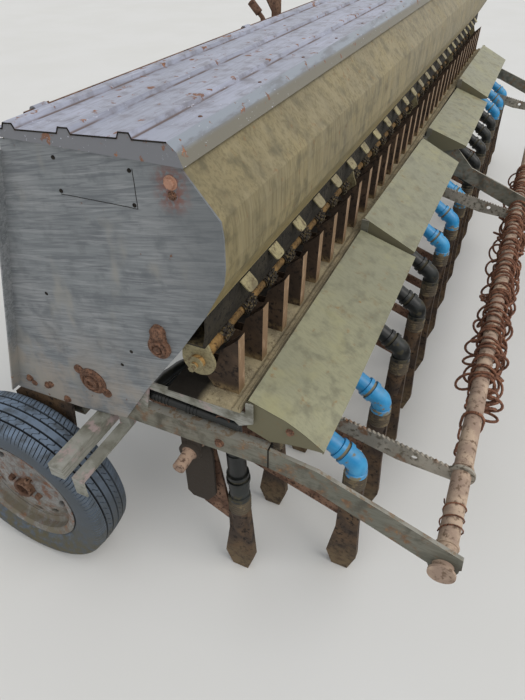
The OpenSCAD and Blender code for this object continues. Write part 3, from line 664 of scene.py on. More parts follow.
@dataclass(frozen=True)
class AgedEnamel:
    """Sprayed enamel on sheet steel after decades outside: chalked, stained, and rusting where it is thin.

    To the eye: clouds of two near tints, fine dirt in streaks, crumbly rust with orange hearts and a
    dull sheen that comes and goes.
    """

    name: str
    base: str
    chalk: str
    stain: str
    rust: str = "#6e4029"
    rust_heart: str = "#a9663c"
    rust_from: float = 0.62
    streak: tuple[float, float, float] = (1.0, 1.0, 1.0)
    streak_turn: tuple[float, float, float] = (0.0, 0.0, 0.0)
    streak_share: float = 0.55
    dull: float = 0.62

    def surface(self) -> Surface:
        """The finish before any mark of its own place is added.

        Returns:
            The surface, ready for more coats.
        """
        s = Surface(self.name, self.base, self.dull)
        s.cover(s.grain(260, 0.38, 0.66, detail=4, seed=3.1), self.chalk, self.dull + 0.08)
        s.cover(s.grain(45, 0.46, 0.70, detail=5, seed=7.7), self.stain)
        # streaks of dirt left by running water, 6 mm wide and as long as the stretch says
        streaks = s.grain(6, 0.44, 0.66, self.streak, self.streak_turn, 3, 1.7, 0.4)
        s.cover(s.meet(streaks, self.streak_share), self.stain, self.dull + 0.14)
        # pale specks of lichen and dust, 7 mm across
        s.cover(s.grain(7, 0.70, 0.76, detail=2, seed=9.0), self.chalk, 0.85, 0.15)
        return s

    def rusted(self, s: Surface, where: Socket | None = None, share: float = 0.35) -> Surface:
        """Adds crumbled rust in patches of about 30 mm, more of it where a mask holds.

        Args:
            s: Surface to rust.
            where: Mask of where rust gathers, or None.
            share: How much it gathers there.

        Returns:
            The surface itself.
        """
        patch = s.grain(30, self.rust_from - 0.12, self.rust_from + 0.12, detail=8, seed=4.4)
        mask = patch if where is None else s.grown(patch, where, share)
        s.cover(mask, self.rust, 0.88, 0.35)
        s.cover(s.meet(mask, s.grain(14, 0.52, 0.64, detail=6, seed=6.0)), self.rust_heart, 0.9, 0.2)
        return s


@dataclass(frozen=True)
class RustySteel:
    """Bare mild steel rusted through its scale: brown skin with lighter worn ridges and dark pits."""

    name: str
    skin: str
    worn: str
    pit: str
    size: float = 18.0

    def surface(self) -> Surface:
        """The finish before any mark of its own place is added.

        Returns:
            The surface, ready for more coats.
        """
        s = Surface(self.name, self.skin, 0.82)
        s.cover(s.grain(self.size * 3, 0.42, 0.62, detail=5, seed=2.0), self.worn, 0.74)
        s.cover(s.grain(self.size * 0.55, 0.50, 0.66, detail=6, seed=5.0), self.pit, 0.92, -0.5)
        s.cover(s.grain(2.6, 0.45, 0.60, detail=2, seed=8.0), None, None, 0.12)
        return s


@dataclass(frozen=True)
class MouldedHose:
    """Moulded polyethylene tube: smooth with soft highlights, scuffed, with dried khaki dust in bands."""

    name: str
    base: str
    scuff: str
    dust: str
    gloss: float = 0.34

    def surface(self) -> Surface:
        """The finish with its scuffs and dust, heavier where the piece is marked.

        Returns:
            The surface, ready for more coats.
        """
        s = Surface(self.name, self.base, self.gloss)
        s.cover(s.grain(60, 0.45, 0.70, detail=4, seed=1.0), self.scuff, self.gloss + 0.12)
        s.cover(s.grain(5, 0.62, 0.72, (1, 1, 5), detail=3, seed=2.0), self.scuff, 0.6, -0.06)
        dusty = s.grown(s.grain(24, 0.42, 0.84, detail=5, seed=5.5), s.tone(), 0.85)
        s.cover(dusty, self.dust, 0.86, 0.1)
        top = s.meet(s.facing(Axis.Z, 0.35, 1.0), s.grain(30, 0.46, 0.66, detail=5, seed=8.5), 0.3)
        return s.cover(top, self.dust, 0.8)


@dataclass(frozen=True)
class TyreRubber:
    """Vulcanised road rubber: a blue-grey painted sky sheen on top, muddy khaki dust low down, and painted
    shade, nearly black, in the grooves.
    """

    painted_sky_sheen: str = "#687789"
    rubber: str = "#474d52"
    mud: str = "#59533f"

    def material(self) -> Material:
        """The finish of both tyres.

        Returns:
            The finished material.
        """
        s = Surface("vulcanised tyre rubber", self.rubber, 0.72)
        s.cover(s.grain(70, 0.38, 0.62, detail=4, seed=2.2), "#4b525a", 0.78)
        # painted light: faces that look up take a blue-grey sheen of sky
        top = s.facing(Axis.Z, 0.1, 0.9)
        s.cover(s.meet(top, s.grain(34, 0.30, 0.60, detail=4, seed=1.2)), self.painted_sky_sheen, 0.7)
        low = s.meet(s.band(Axis.Z, -250, -560), s.grain(26, 0.34, 0.60, detail=6, seed=6.6))
        s.cover(low, self.mud, 0.92, 0.3)
        s.cover(s.grain(3, 0.5, 0.6, detail=2, seed=4.2), None, None, 0.1)
        # painted shade: the grooves and cuts, which the tone marks, are nearly black
        return s.cover(s.tone(), "#15171a", 0.9).done(0.35)


# fittings of the left end plate: the worn bolt and the one under it, the casting, the flange
NEAR_BOLTS = [[PLATE_X, -206.3, 643.2], [PLATE_X, -207.4, 621.1]]
CASTING = [PLATE_X, -136.0, 274.0]
FLANGE = [PLATE_X, 79.6, 95.6]
# where rust gathers on the end plates
RUST_SPOTS = [[-HALF_W, y, z] for y, z in ((235, 215), (137, 162), (237, 57), (-271, 448), (-22, 124))]


class Finishes:
    """All the finishes of the machine, each made once."""

    def __init__(self) -> None:
        """Makes every material."""
        self.lid = self._lid()
        self.end_plate = self._end_plate()
        self.hopper = self._hopper()
        self.inner = self._inner()
        self.trays = [self._tray(i) for i in range(4)]
        self.tabs = self._tabs()
        self.beam = self._beam()
        self.bracket_paint = self._bracket_paint()
        self.dust_plate = self._dust_plate()
        self.chute = self._chute()
        self.ochre = self._ochre()
        # bare steel: brown scale, a pale pinkish pipe, redder wire, and nearly black grime that also serves
        # as painted shade in gaps and holes
        self.rust = self._steel("rusted mild steel", "#5b4234", "#7c5f4c", "#35251c", 18, 0.3)
        self.pink_rust = self._steel("weathered pipe steel", "#9c8676", "#bba48e", "#74604f", 26, 0.3)
        self.chain = self._steel("rusted chain wire", "#6b4736", "#8b6049", "#3a261d", 10, 0.3)
        self.gap = self._steel("grime and painted shade", "#1b1712", "#241f18", "#0e0b08", 8, 0.2)
        self.boot = self._boot()
        self.serrated = self._serrated()
        # moulded tubes: clear blue and glossy black, then blue dulled by dust and rubber under earth
        self.blue_hose = self._hose("blue moulded polyethylene", "#2187bd", "#3f9bcb", "#7d7660", 0.34)
        self.dark_hose = self._hose("black moulded polyethylene", "#101211", "#1f2321", "#423e30", 0.36, 0.35)
        self.funnel = self._hose("dusty blue polyethylene", "#1f6a94", "#3d7d9f", "#6f684f", 0.5)
        self.socket = self._hose("earth-coated ribbed rubber", "#443b2d", "#564a38", "#6b5e47", 0.7)
        self.tyre = TyreRubber().material()
        self.rim = self._rim()
        self.bolt = self._bolt()
        self.lift = self._lift()

    def _steel(self, name: str, skin: str, worn: str, pit: str, size: float,
               specular: float) -> Material:
        """Bare rusted steel with no mark of its own place."""
        return RustySteel(name, skin, worn, pit, size).surface().done(specular)

    def _hose(self, name: str, base: str, scuff: str, dust: str, gloss: float,
              specular: float = 0.5) -> Material:
        """Moulded tube with no mark of its own place."""
        return MouldedHose(name, base, scuff, dust, gloss).surface().done(specular)

    def _lid(self) -> Material:
        """Grey lid with a mauve cast, rust along the ribs and pale speckles on its rear strip.

        Returns:
            The finished material.
        """
        paint = AgedEnamel("chalked grey enamel", "#969aa9", "#a8abbb", "#7b7a83", rust="#7d5a48",
                           rust_heart="#a27252", streak=(14, 1, 1), streak_share=0.4, dull=0.5)
        s = paint.surface()
        # the folded rear lip is olive-grey, without the chalking of the top; the ends, facing sideways, are
        # darker grey as painted shade
        s.cover(s.band(Axis.Y, -209, -213), "#878e97", 0.5)
        stains = s.grain(26, 0.46, 0.64, (4, 1, 1), detail=5, seed=2.8)
        s.cover(s.meet(s.band(Axis.Y, -205, -215), stains), "#71747a")
        s.cover(s.band(Axis.Y, -226, -231), "#716d61", 0.6)
        skirts = s.any_of(s.facing(Axis.X, 0.5, 0.9), s.facing(Axis.X, -0.5, -0.9))
        s.cover(skirts, "#737478", 0.6)
        # a thin dark line along both feet of each rib, where water stood
        for y, z in LID_RIBS:
            for side in (-15.0, 15.0):
                broken = s.grain(20, 0.35, 0.6, (5, 1, 1), detail=4, seed=7.0)
                s.cover(s.meet(s.round_line(y + side, z, 1.5, 5.0), broken), "#6c5f5c", 0.8)
        ribs = s.any_of(*[s.round_line(y, z + 5.0, 8.0, 16.0) for y, z in LID_RIBS])
        paint.rusted(s, s.any_of(s.meet(ribs, 0.7), s.meet(skirts, 0.8)), 0.3)
        # white specks of lichen and droppings, 5 mm across
        specks = s.grain(5, 0.66, 0.72, (2, 1, 1), detail=2, seed=12.0)
        s.cover(s.meet(specks, s.grain(90, 0.45, 0.6, seed=5.0)), "#c9cbd6", 0.8, 0.2)
        return s.done()

    def _end_plate(self) -> Material:
        """Blue-grey end plates: fine wavy streaks along them, rust low down, at edges and round fittings.

        Returns:
            The finished material.
        """
        paint = AgedEnamel("blue-grey enamel on sheet", "#7a7e80", "#888a8b", "#666a6d", rust="#70503b",
                           rust_heart="#98694a", rust_from=0.70, streak=(1, 22, 1), streak_turn=(9, 0, 0),
                           streak_share=0.6, dull=0.56)
        s = paint.surface()
        # two more sets of long wavy streaks, dark 9 mm and pale 8 mm wide, as brushed on dirt
        s.cover(s.meet(s.grain(9, 0.46, 0.62, (1, 18, 1), (13, 0, 0), 4, 6.1, 1.2), 0.6), "#565a5f", 0.6)
        s.cover(s.meet(s.grain(8, 0.50, 0.66, (1, 20, 1), (11, 0, 0), 4, 1.3, 1.0), 0.5), "#999b9c", 0.6)
        s.cover(s.grain(120, 0.52, 0.68, (1, 1, 2), detail=3, seed=8.1), "#8c8a84", 0.7)
        s.cover(s.meet(s.band(Axis.Y, -110, -290), 0.6), "#5d6163")
        low = s.band(Axis.Z, 300, 20)
        s.cover(s.meet(low, s.grain(70, 0.36, 0.62, detail=6, seed=3.9), 0.75), "#9a9186", 0.8)
        fittings = s.near(NEAR_BOLTS, 46)
        s.cover(s.meet(fittings, s.grain(12, 0.35, 0.6, detail=5, seed=1.9), 0.8), "#7a4a3c", 0.85)
        paint.rusted(s, s.any_of(s.meet(low, 0.62), s.near(RUST_SPOTS, 90)), 0.42)
        return s.done()

    def _hopper(self) -> Material:
        """Olive-brown hopper sheet with streaks that run down, and a bright worn lower edge.

        Returns:
            The finished material.
        """
        paint = AgedEnamel("olive enamel on sheet", "#776c4c", "#877a55", "#595136", rust="#74563c",
                           rust_heart="#9a7247", rust_from=0.70, streak=(1, 1, 18), streak_share=0.6,
                           dull=0.5)
        s = paint.surface()
        s.cover(s.meet(s.grain(40, 0.46, 0.66, (1, 1, 7), detail=3, seed=11.0), 0.45), "#8d8262", 0.5)
        s.cover(s.meet(s.band(Axis.Z, 470, 390), 0.45), "#8a7747")
        paint.rusted(s)
        return s.cover(s.band(Axis.Z, 388, 384), "#b8ab7e", 0.45).done()

    def _inner(self) -> Material:
        """Trough and housings: dull sheet painted nearly black as shade, with seed dust on ledges."""
        # painted shade: the whole sheet is nearly black, as the trough lies in shade
        s = RustySteel("galvanised trough sheet in painted shade", "#201c15", "#2d281e", "#100d0a", 20).surface()
        s.cover(s.meet(s.facing(Axis.Z, 0.5, 1.0), s.grain(20, 0.35, 0.6, detail=5)), "#6b5e42", 0.9)
        return s.done(0.3)

    def _tray(self, index: int) -> Material:
        """Olive-khaki tray sheet with brown stains.

        Args:
            index: The tray from the left, from 0; it sets where the stains lie.

        Returns:
            The finished material.
        """
        paint = AgedEnamel("khaki enamel on tray sheet", "#83826a", "#8f8d71", "#716f59", rust="#7a5d3b",
                           rust_heart="#94713f", rust_from=0.70, streak=(1, 12, 1), streak_turn=(0, 0, 14),
                           streak_share=0.4, dull=0.46)
        s = paint.surface()
        s.cover(s.meet(s.grain(150, 0.52, 0.70, detail=4, seed=2.0 + 3.3 * index), 0.6), "#949069", 0.5)
        s.cover(s.meet(s.grain(90, 0.60, 0.72, detail=6, seed=5.0 + 2.1 * index), 0.5), "#74603f", 0.75)
        # painted shade: the cheeks and other faces that do not look up are darker khaki, and the underside
        # nearly black
        s.cover(s.facing(Axis.Z, 0.55, 0.2), "#66614a", 0.7)
        s.cover(s.facing(Axis.Z, -0.3, -0.8), "#2f2b24", 0.8)
        paint.rusted(s)
        return s.done()

    def _tabs(self) -> Material:
        """Pull tabs and shaft hangers: khaki paint worn pale."""
        s = AgedEnamel("worn khaki enamel", "#857b5c", "#a0966f", "#63593f", rust="#7a5636",
                       rust_heart="#9a6c3f", dull=0.55).surface()
        return s.cover(s.grain(16, 0.55, 0.66, detail=5, seed=3.0), "#5f523a", 0.8).done()

    def _beam(self) -> Material:
        """Frame tubes: pale grey worn top, olive-brown sides with orange rust in drips.

        Returns:
            The finished material.
        """
        paint = AgedEnamel("brown enamel on square tube", "#66665a", "#7a7669", "#4b483d", rust="#6d5039",
                           rust_heart="#94704c", rust_from=0.62, streak=(1, 8, 1), streak_share=0.4, dull=0.6)
        s = paint.rusted(paint.surface())
        top = s.facing(Axis.Z, 0.6, 0.95)
        s.cover(s.meet(top, s.grain(30, 0.25, 0.5, (1, 3, 1), detail=4)), "#8a877d", 0.55)
        return s.cover(s.meet(top, s.grain(14, 0.5, 0.62, detail=5, seed=4)), "#7b6a55", 0.8).done()

    def _bracket_paint(self) -> Material:
        """Square stub and bars at the ends: grey-olive paint rubbed to pinkish primer."""
        s = AgedEnamel("grey-olive enamel over primer", "#7d7d72", "#94938b", "#5d5b4e", rust="#7f6049",
                       rust_heart="#a37b59", rust_from=0.62, streak=(8, 8, 1), dull=0.55).surface()
        return s.cover(s.grain(55, 0.52, 0.62, detail=4, seed=6.4), "#9d8c88", 0.5).done()

    def _dust_plate(self) -> Material:
        """Funnel plate under a coat of dry sandy dust, with painted shade in front of the chutes.

        Returns:
            The finished material.
        """
        s = Surface("dry sandy dust on steel", "#7a705b", 0.92)
        s.cover(s.grain(60, 0.40, 0.62, detail=6, seed=1.0), "#968a6e", 0.95, 0.6)
        s.cover(s.meet(s.grain(14, 0.55, 0.68, detail=6, seed=3.0), 0.7), "#5b4f3b", 0.9, -0.3)
        s.cover(s.meet(s.grain(4, 0.5, 0.62, detail=3, seed=6.0), 0.4), "#a89c80", 0.95, 0.15)
        # painted shade: the strip in front of the chutes is near black, as the shade there
        s.cover(s.band(Axis.Y, -232, -208), "#1b1712", 0.9)
        return s.done(0.2)

    def _chute(self) -> Material:
        """Chutes of thin sheet: dark brown cheeks, and a rear strip lightened with paler patches as painted
        sunlight.

        Returns:
            The finished material.
        """
        s = RustySteel("oiled brown chute sheet", "#372a1f", "#4b3a2b", "#1e150f", 26).surface()
        # painted light: faces that look rearwards are lighter, as where the sun falls
        strip = s.facing(Axis.Y, -0.5, -0.9)
        s.cover(strip, "#83694f", 0.6)
        s.cover(s.meet(strip, s.grain(22, 0.5, 0.62, (1, 1, 3), detail=5)), "#a1856a", 0.55)
        s.cover(s.meet(s.band(Axis.Z, 178, 150), s.grain(16, 0.35, 0.6, detail=5)), "#8b7654", 0.9)
        return s.done(0.4)

    def _ochre(self) -> Material:
        """Metering shaft and its couplings: ochre rust on the bar, dark grease and crumbs on the claws.

        Returns:
            The finished material.
        """
        s = RustySteel("ochre-rusted bright bar", "#7d5f34", "#a27e48", "#4a3319", 14).surface()
        # all that stands out from the bar is greasy and dark, but for the barrel at the left end
        rings = s.meet(s.round_line(*SHAFT, 13.5, 9.5), s.band(Axis.X, -1908, -1902))
        claws = s.any_of(s.tone(), rings)
        s.cover(claws, "#241d15", 0.8)
        s.cover(s.meet(claws, s.grain(7, 0.5, 0.62, detail=4, seed=3)), "#6a5a38", 0.85, 0.6)
        return s.done(0.5)

    def _boot(self) -> Material:
        """Cast coulter boots: dark rust with dried earth towards the ground.

        Returns:
            The finished material.
        """
        s = RustySteel("rusted cast coulter iron", "#3a2f27", "#57432f", "#1f1813", 24).surface()
        low = s.meet(s.band(Axis.Z, -430, -580), s.grain(20, 0.32, 0.58, detail=6, seed=2))
        return s.cover(low, "#6b5b45", 0.95, 0.6).done(0.35)

    def _bolt(self) -> Material:
        """Zinc bolts gone brown; a marked head is rubbed to a pinkish orange."""
        s = RustySteel("rusted zinc bolt", "#5d4334", "#7f5c47", "#35251c", 5).surface()
        return s.cover(s.tone(), "#a97f69", 0.6).done(0.4)

    def _lift(self) -> Material:
        """Lift shaft: pinkish worn bar, with discs and levers nearly black."""
        s = RustySteel("worn lift shaft steel", "#8a7363", "#a58c78", "#5a4539", 20).surface()
        return s.cover(s.round_line(-178.0, -43.0, 22.0, 17.5), "#352e27", 0.85).done(0.35)

    def _serrated(self) -> Material:
        """Flat bars to the harrow pipe: grey-tan steel with brown blotches."""
        s = RustySteel("weathered flat bar steel", "#8a8478", "#9f988b", "#5f584b", 26).surface()
        return s.cover(s.grain(60, 0.55, 0.66, detail=5, seed=4.1), "#7a5a42", 0.85).done(0.35)

    def _rim(self) -> Material:
        """Pressed wheel: silver-grey paint gone dull, brown rust, and black pockets as painted shade.

        Returns:
            The finished material.
        """
        paint = AgedEnamel("dulled silver wheel lacquer", "#7c7c7a", "#8f8e8b", "#5c5751", rust="#6b4a38",
                           rust_heart="#8f6446", rust_from=0.56, dull=0.5)
        s = paint.rusted(paint.surface())
        s.cover(s.meet(s.band(Axis.Z, -320, -480), s.grain(30, 0.3, 0.6, detail=5)), "#6b6454", 0.85)
        # painted shade: the disc's pockets, which the tone marks, are nearly black
        return s.cover(s.tone(), "#161310", 0.9).done()


# Pieces


def make_piece(name: str, shell: Shell, material: Material, body: str = "frame",
               replaced: Sequence[str] = (), crease: float = 32.0) -> None:
    """Turns a shell into an object of the scene, at the origin, with its place in its mesh.

    Args:
        name: Plain name of the piece.
        shell: Its form in millimetres from the datum.
        material: Its finish.
        body: CAD body that it moves with.
        replaced: CAD nodes that it stands for.
        crease: Angle in degrees above which an edge stays sharp.
    """
    mesh = bpy.data.meshes.new(name)
    faces = [face for block in shell.faces.values() for face in block.tolist()]
    mesh.from_pydata(metres(shell.points).tolist(), [], faces)
    mark = mesh.attributes.new("tone", "FLOAT", "POINT")
    mark.data.foreach_set("value", np.asarray(shell.tone, np.float32))
    work = bmesh.new()
    work.from_mesh(mesh)
    bmesh.ops.remove_doubles(work, verts=work.verts, dist=2e-6)
    bmesh.ops.dissolve_degenerate(work, edges=work.edges, dist=1e-6)
    bmesh.ops.recalc_face_normals(work, faces=work.faces)
    work.to_mesh(mesh)
    work.free()
    mesh.polygons.foreach_set("use_smooth", np.ones(len(mesh.polygons), bool))
    mesh.set_sharp_from_angle(angle=math.radians(crease))
    mesh.materials.append(material)
    piece = bpy.data.objects.new(name, mesh)
    bpy.context.scene.collection.objects.link(piece)
    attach(piece, body)
    if replaced:
        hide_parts(*replaced)
    log.info("%s: %d faces on %s", name, len(mesh.polygons), body)


Dressing = list[tuple[Material, list[str]]]


@dataclass
class SubAssembly:
    """Part of the machine: the finishes of its CAD nodes, and its finer pieces."""

    finishes: Finishes

    def dressing(self) -> Dressing:
        """Finishes, each with the CAD nodes that it goes on."""
        return []

    def add_pieces(self) -> None:
        """Adds the part's finer pieces."""

    def build(self, nodes: dict[str, bpy.types.Object]) -> None:
        """Gives the part's nodes their finish in all material slots, and adds its pieces.

        Args:
            nodes: CAD nodes by name.
        """
        for material, names in self.dressing():
            for name in names:
                for slot in nodes[name].material_slots:
                    slot.link = "DATA"
                    slot.material = material
                log.info("%s: finish %s", name, material.name)
        self.add_pieces()


@dataclass
class Hopper(SubAssembly):
    """Box, lid and end plates, with their fasteners and castings."""

    lid_end: float = 2011.0
    rib_h: float = 10.0
    rib_foot: float = 15.0
    rib_top: float = 10.0
    bolt_size: float = 17.0

    def dressing(self) -> Dressing:
        """Finishes of the box's nodes."""
        f = self.finishes
        return [(f.lid, ["lid"]), (f.end_plate, ["end_plate_left", "end_plate_right"]),
                (f.hopper, ["hopper_rear_wall", "hopper_front_wall"]),
                (f.rust, ["lid_hinge_rod", "front_levers"])]

    def add_pieces(self) -> None:
        """Adds seams, fasteners, castings and the traces on the plates."""
        f = self.finishes
        make_piece("lid_end_seams", self.end_seams(), f.gap, "lid")
        make_piece("end_plate_bolts", self.plate_bolts(), f.bolt)
        make_piece("end_castings", self.castings(), f.bolt)
        make_piece("end_plate_flanges", self.flanges(), f.bolt)
        make_piece("blank_plate_trace", self.blank_trace(), f.gap)
        make_piece("end_plate_slots", self.slots(), f.gap)
        make_piece("lid_rivets", self.rivets(), f.bolt, "lid")

    def lid_z(self, y: Array) -> Array:
        """Height of the lid's sheet at y: it falls evenly from 712 at the rear to 688 at the front."""
        return 688.0 + 24.0 * (147.0 - np.asarray(y)) / 358.0

    def end_seams(self) -> Shell:
        """Painted shade in the gap under the lid's edge at both ends: a thin dark strip that steps over each
        rib.

        Returns:
            The forms of both ends.
        """
        step = [[self.rib_foot, 0.0], [self.rib_top, self.rib_h], [-self.rib_top, self.rib_h],
                [-self.rib_foot, 0.0]]
        over_ribs = [[rib + y, z] for rib, _ in LID_RIBS for y, z in step]
        y, z = np.array([[148.0, 0.0], *over_ribs, [-211.0, 0.0]]).T
        path = np.column_stack([np.full(len(y), -self.lid_end - 0.2), y, self.lid_z(y) + z - 1.2])
        return both_ends(tube(path, 1.5, 6, RIGHT))

    def plate_bolts(self) -> Shell:
        """Bolts of both end plates: two at the rear top, of which one is worn, and three low in front.

        Returns:
            The forms of both ends.
        """
        low = [[PLATE_X, 301.4, 23], [PLATE_X, 241.9, 20], [PLATE_X, 186, -8]]
        worn = hex_bolt(NEAR_BOLTS[0], LEFT, self.bolt_size + 3)
        worn.tone[:] = 1.0
        return both_ends(joined([worn, hex_bolt(NEAR_BOLTS[1], LEFT, 13.0),
                                 bolts_at(low, LEFT, self.bolt_size)]))

    def castings(self) -> Shell:
        """Two-boss casting on each plate: a ringed boss, a smaller one above and a web between them.

        Returns:
            The forms of both ends.
        """
        x, y, z = CASTING
        ring = turned_part([[0, 0], [27, 0], [27, 7], [24, 9], [20, 9], [19, 13], [13, 14], [12, 10], [9, 10],
                            [8, 16], [0, 16]], CASTING, LEFT, 28)
        boss = turned_part([[0, 0], [17, 0], [16, 12], [12, 15], [0, 15]], [x, y - 2, z + 42], LEFT, 22)
        web = plate_across([[y - 20, z], [y - 18, z + 44], [y + 12, z + 46], [y + 24, z + 4]], x - 8, x)
        lug = hex_bolt([x - 8, y - 18, z + 18], LEFT, 10, washer=False)
        return both_ends(joined([ring, boss, web, lug]))

    def flanges(self) -> Shell:
        """Round flange low on each plate: stepped rings with two ears, each with its bolt.

        Returns:
            The forms of both ends.
        """
        x, y, z = FLANGE
        rings = turned_part([[0, 0], [38, 0], [38, 3], [34, 5], [31, 5], [30, 9], [25, 10], [24, 6], [19, 6],
                             [18, 13], [10, 14], [9, 8], [0, 8]], FLANGE, LEFT, 32)
        ears = [turned_part([[0, 0], [13, 0], [13, 4], [0, 4]], [x, y + d * 36, z + d * 26], LEFT, 18)
                for d in (-1, 1)]
        bolts = bolts_at([[x - 4, y + d * 38, z + d * 27] for d in (-1, 1)], LEFT, 13, washer=False)
        return both_ends(joined([rings, *ears, bolts]))

    def blank_trace(self) -> Shell:
        """Trace of a lost plate on the left end: two dark edges and four corner pins, nothing on it.

        Returns:
            The form in millimetres from the datum.
        """
        corners = np.array([[PLATE_X, 34, 649], [PLATE_X, -127, 651], [PLATE_X, -127, 589],
                            [PLATE_X, 34, 587]])
        pins = turned_part([[0, -0.5], [4.2, -0.5], [3.8, 1.4], [0, 2.2]], ORIGIN, LEFT, 10).repeated(corners)
        top, low, end = corners[1:] + [[0, -6, 4], [0, -6, -6], [0, 2, -6]]
        lines = []
        for edge in (np.linspace(top, low, 14), np.linspace(low, end, 24)):
            shake = np.column_stack([0 * edge[:, 0], bumps(edge, 40, 3) * 0.7, bumps(edge, 35, 4) * 0.7])
            lines.append(tube(edge + shake, 0.7, 6, RIGHT))
        return joined([pins, *lines])

    def slots(self) -> Shell:
        """Small holes in the plates, as dark discs a quarter of a millimetre proud: painted shade for their
        depth.

        Returns:
            The forms of both ends.
        """
        places = np.array([[PLATE_X, -55.7, 233], [PLATE_X, -22.3, 183.4], [PLATE_X, 100, 60],
                           [PLATE_X, 150, 330]])
        disc = turned_part([[0, -0.3], [4.5, -0.3], [4.5, 0.25], [0, 0.25]], ORIGIN, LEFT, 12)
        return both_ends(disc.repeated(places))

    def rivets(self) -> Shell:
        """Rivets along the rear strip of the lid, 250 mm apart.

        Returns:
            The form in millimetres from the datum.
        """
        x = np.arange(-1875.0, 1876.0, 250.0)
        y = np.full(len(x), -196.0)
        head = turned_part([[0, -0.5], [4.5, -0.5], [3.6, 1.3], [0, 2.0]], ORIGIN, UP, 10)
        return head.repeated(np.column_stack([x, y, self.lid_z(y)]))


@dataclass
class Metering(SubAssembly):
    """Shaft, couplings, chutes and the dusty plate under them."""

    bore: float = 8.1
    claw_teeth: int = 9
    claw_bore: float = 8.2
    claw_root: float = 17.5
    tooth_h: float = 4.6
    # height of the dust's rim and of its flats between the saddles
    dust_rim_z: float = 148.5
    dust_z: float = 150.4

    def dressing(self) -> Dressing:
        """Finishes of the metering nodes."""
        f = self.finishes
        return [(f.inner, ["metering_trough", "metering_housings"]),
                (f.tabs, ["pull_tabs", "shaft_brackets"]), (f.chute, ["seed_chutes"]),
                (f.ochre, ["metering_shaft"]), (f.dust_plate, ["funnel_plate"]), (f.funnel, ["funnels"])]

    def add_pieces(self) -> None:
        """Adds couplings, the shaft's end and the dust."""
        f = self.finishes
        make_piece("claw_couplings", self.couplings(), f.ochre, "metering_shaft", crease=40)
        make_piece("shaft_end_nut", self.end_nut(), f.tabs, "metering_shaft")
        make_piece("dust_saddles", self.dust(), f.dust_plate, crease=60)

    def claw(self, x0: float, lead: float) -> Shell:
        """Claw disc round the shaft: its rim rises and falls as teeth, and the teeth lean ahead.

        Args:
            x0: Where the disc starts along the shaft.
            lead: How far the teeth reach along the shaft.

        Returns:
            The disc as a closed ring.
        """
        steps = self.claw_teeth * 4
        angle = np.linspace(0, 2 * np.pi, steps, endpoint=False)
        flat, tooth = np.zeros(steps), (np.arange(steps) % 4 < 2).astype(float)
        rim = (self.claw_root + self.tooth_h * tooth) * (1.0 + 0.06 * np.sin(angle * 5 + lead))
        # outline of [radius, along]: up the back, over the rim and down the face
        radii = np.stack([flat + self.claw_bore, rim, rim, flat + 13.0, flat + self.claw_bore])
        along = np.stack([flat, flat, 5.0 + lead * tooth, flat + 6.0, flat + 6.0])
        points = round_x(x0 + along, radii, angle, SHAFT)
        return grid(points, loop_u=True, loop_v=True, tone=np.ones(radii.shape))

    def couplings(self) -> Shell:
        """Two claw discs, a pale band, a clamp bolt and a sleeve over the bar after each coupling.

        Returns:
            The couplings of all rows but the last.
        """
        hole = self.bore
        band = turned_part([[hole, 0], [15, 0], [15, 4], [hole, 4]], [25.5, *SHAFT], RIGHT, 20, ring=True)
        band.tone[:] = 0.2
        bolt = hex_bolt([35.0, SHAFT[0] - 17, SHAFT[1] + 6], (0, -1, 0.3), 8, head=1.6, washer=False)
        bolt.tone[:] = 0.7
        sleeve = turned_part([[hole, 0], [11, 1], [11, 70], [hole, 71]], [78.5, *SHAFT], RIGHT, 20, ring=True)
        one = joined([self.claw(40.2, 4.0), self.claw(60.2, 3.2), band, bolt, sleeve])
        return one.at_x(row_x(np.arange(ROWS - 1)))

    def end_nut(self) -> Shell:
        """Hexagon nut and a washer on the left end of the shaft.

        Returns:
            The form in millimetres from the datum.
        """
        nut = turned_part([[0, 0], [10.5, 0], [10.5, 3], [8, 4], [7.6, 9], [0, 9]],
                          [from_left(-11.0), *SHAFT], LEFT, 6)
        washer = turned_part([[8.3, -3], [19, -3], [19, 0], [8.3, 0]],
                             [from_left(-3.5), *SHAFT], LEFT, 24, ring=True)
        return joined([nut, washer])

    def dust(self) -> Shell:
        """Dry earth on the funnel plate: a sheet that swells into a saddle between each two chutes.

        The height is a raised cosine across the rows to the power 1.5, 9 mm high midway between two
        chutes, times a bell over y, plus uneven bumps. Its rim dips under the plate's top.

        Returns:
            The sheet and its flat underside.
        """
        gx, gy = np.meshgrid(np.linspace(-1993.0, 1993.0, 798), np.linspace(-295.0, -140.0, 22),
                             indexing="ij")
        between = 0.5 - 0.5 * np.cos(2 * np.pi * (gx - row_x(np.array([0]))[0]) / PITCH)
        bell = np.exp(-(((gy + 268.0) / 30.0) ** 2))
        spots = np.stack([gx, gy, 0 * gx], -1).reshape(-1, 3)
        rough = bumps(spots, 70.0, 5).reshape(gx.shape) * 1.6 + bumps(spots, 19.0, 6).reshape(gx.shape) * 0.7
        height = self.dust_z + 9.0 * between**1.5 * bell + np.maximum(rough, -0.6) * (0.35 + between)
        height[[0, -1]] = self.dust_rim_z
        height[:, [0, -1]] = self.dust_rim_z
        top = grid(np.stack([gx, gy, height], -1))
        under = grid(np.stack([gx, gy, np.full_like(gx, self.dust_rim_z)], -1)[:, ::-1])
        return joined([top, under])


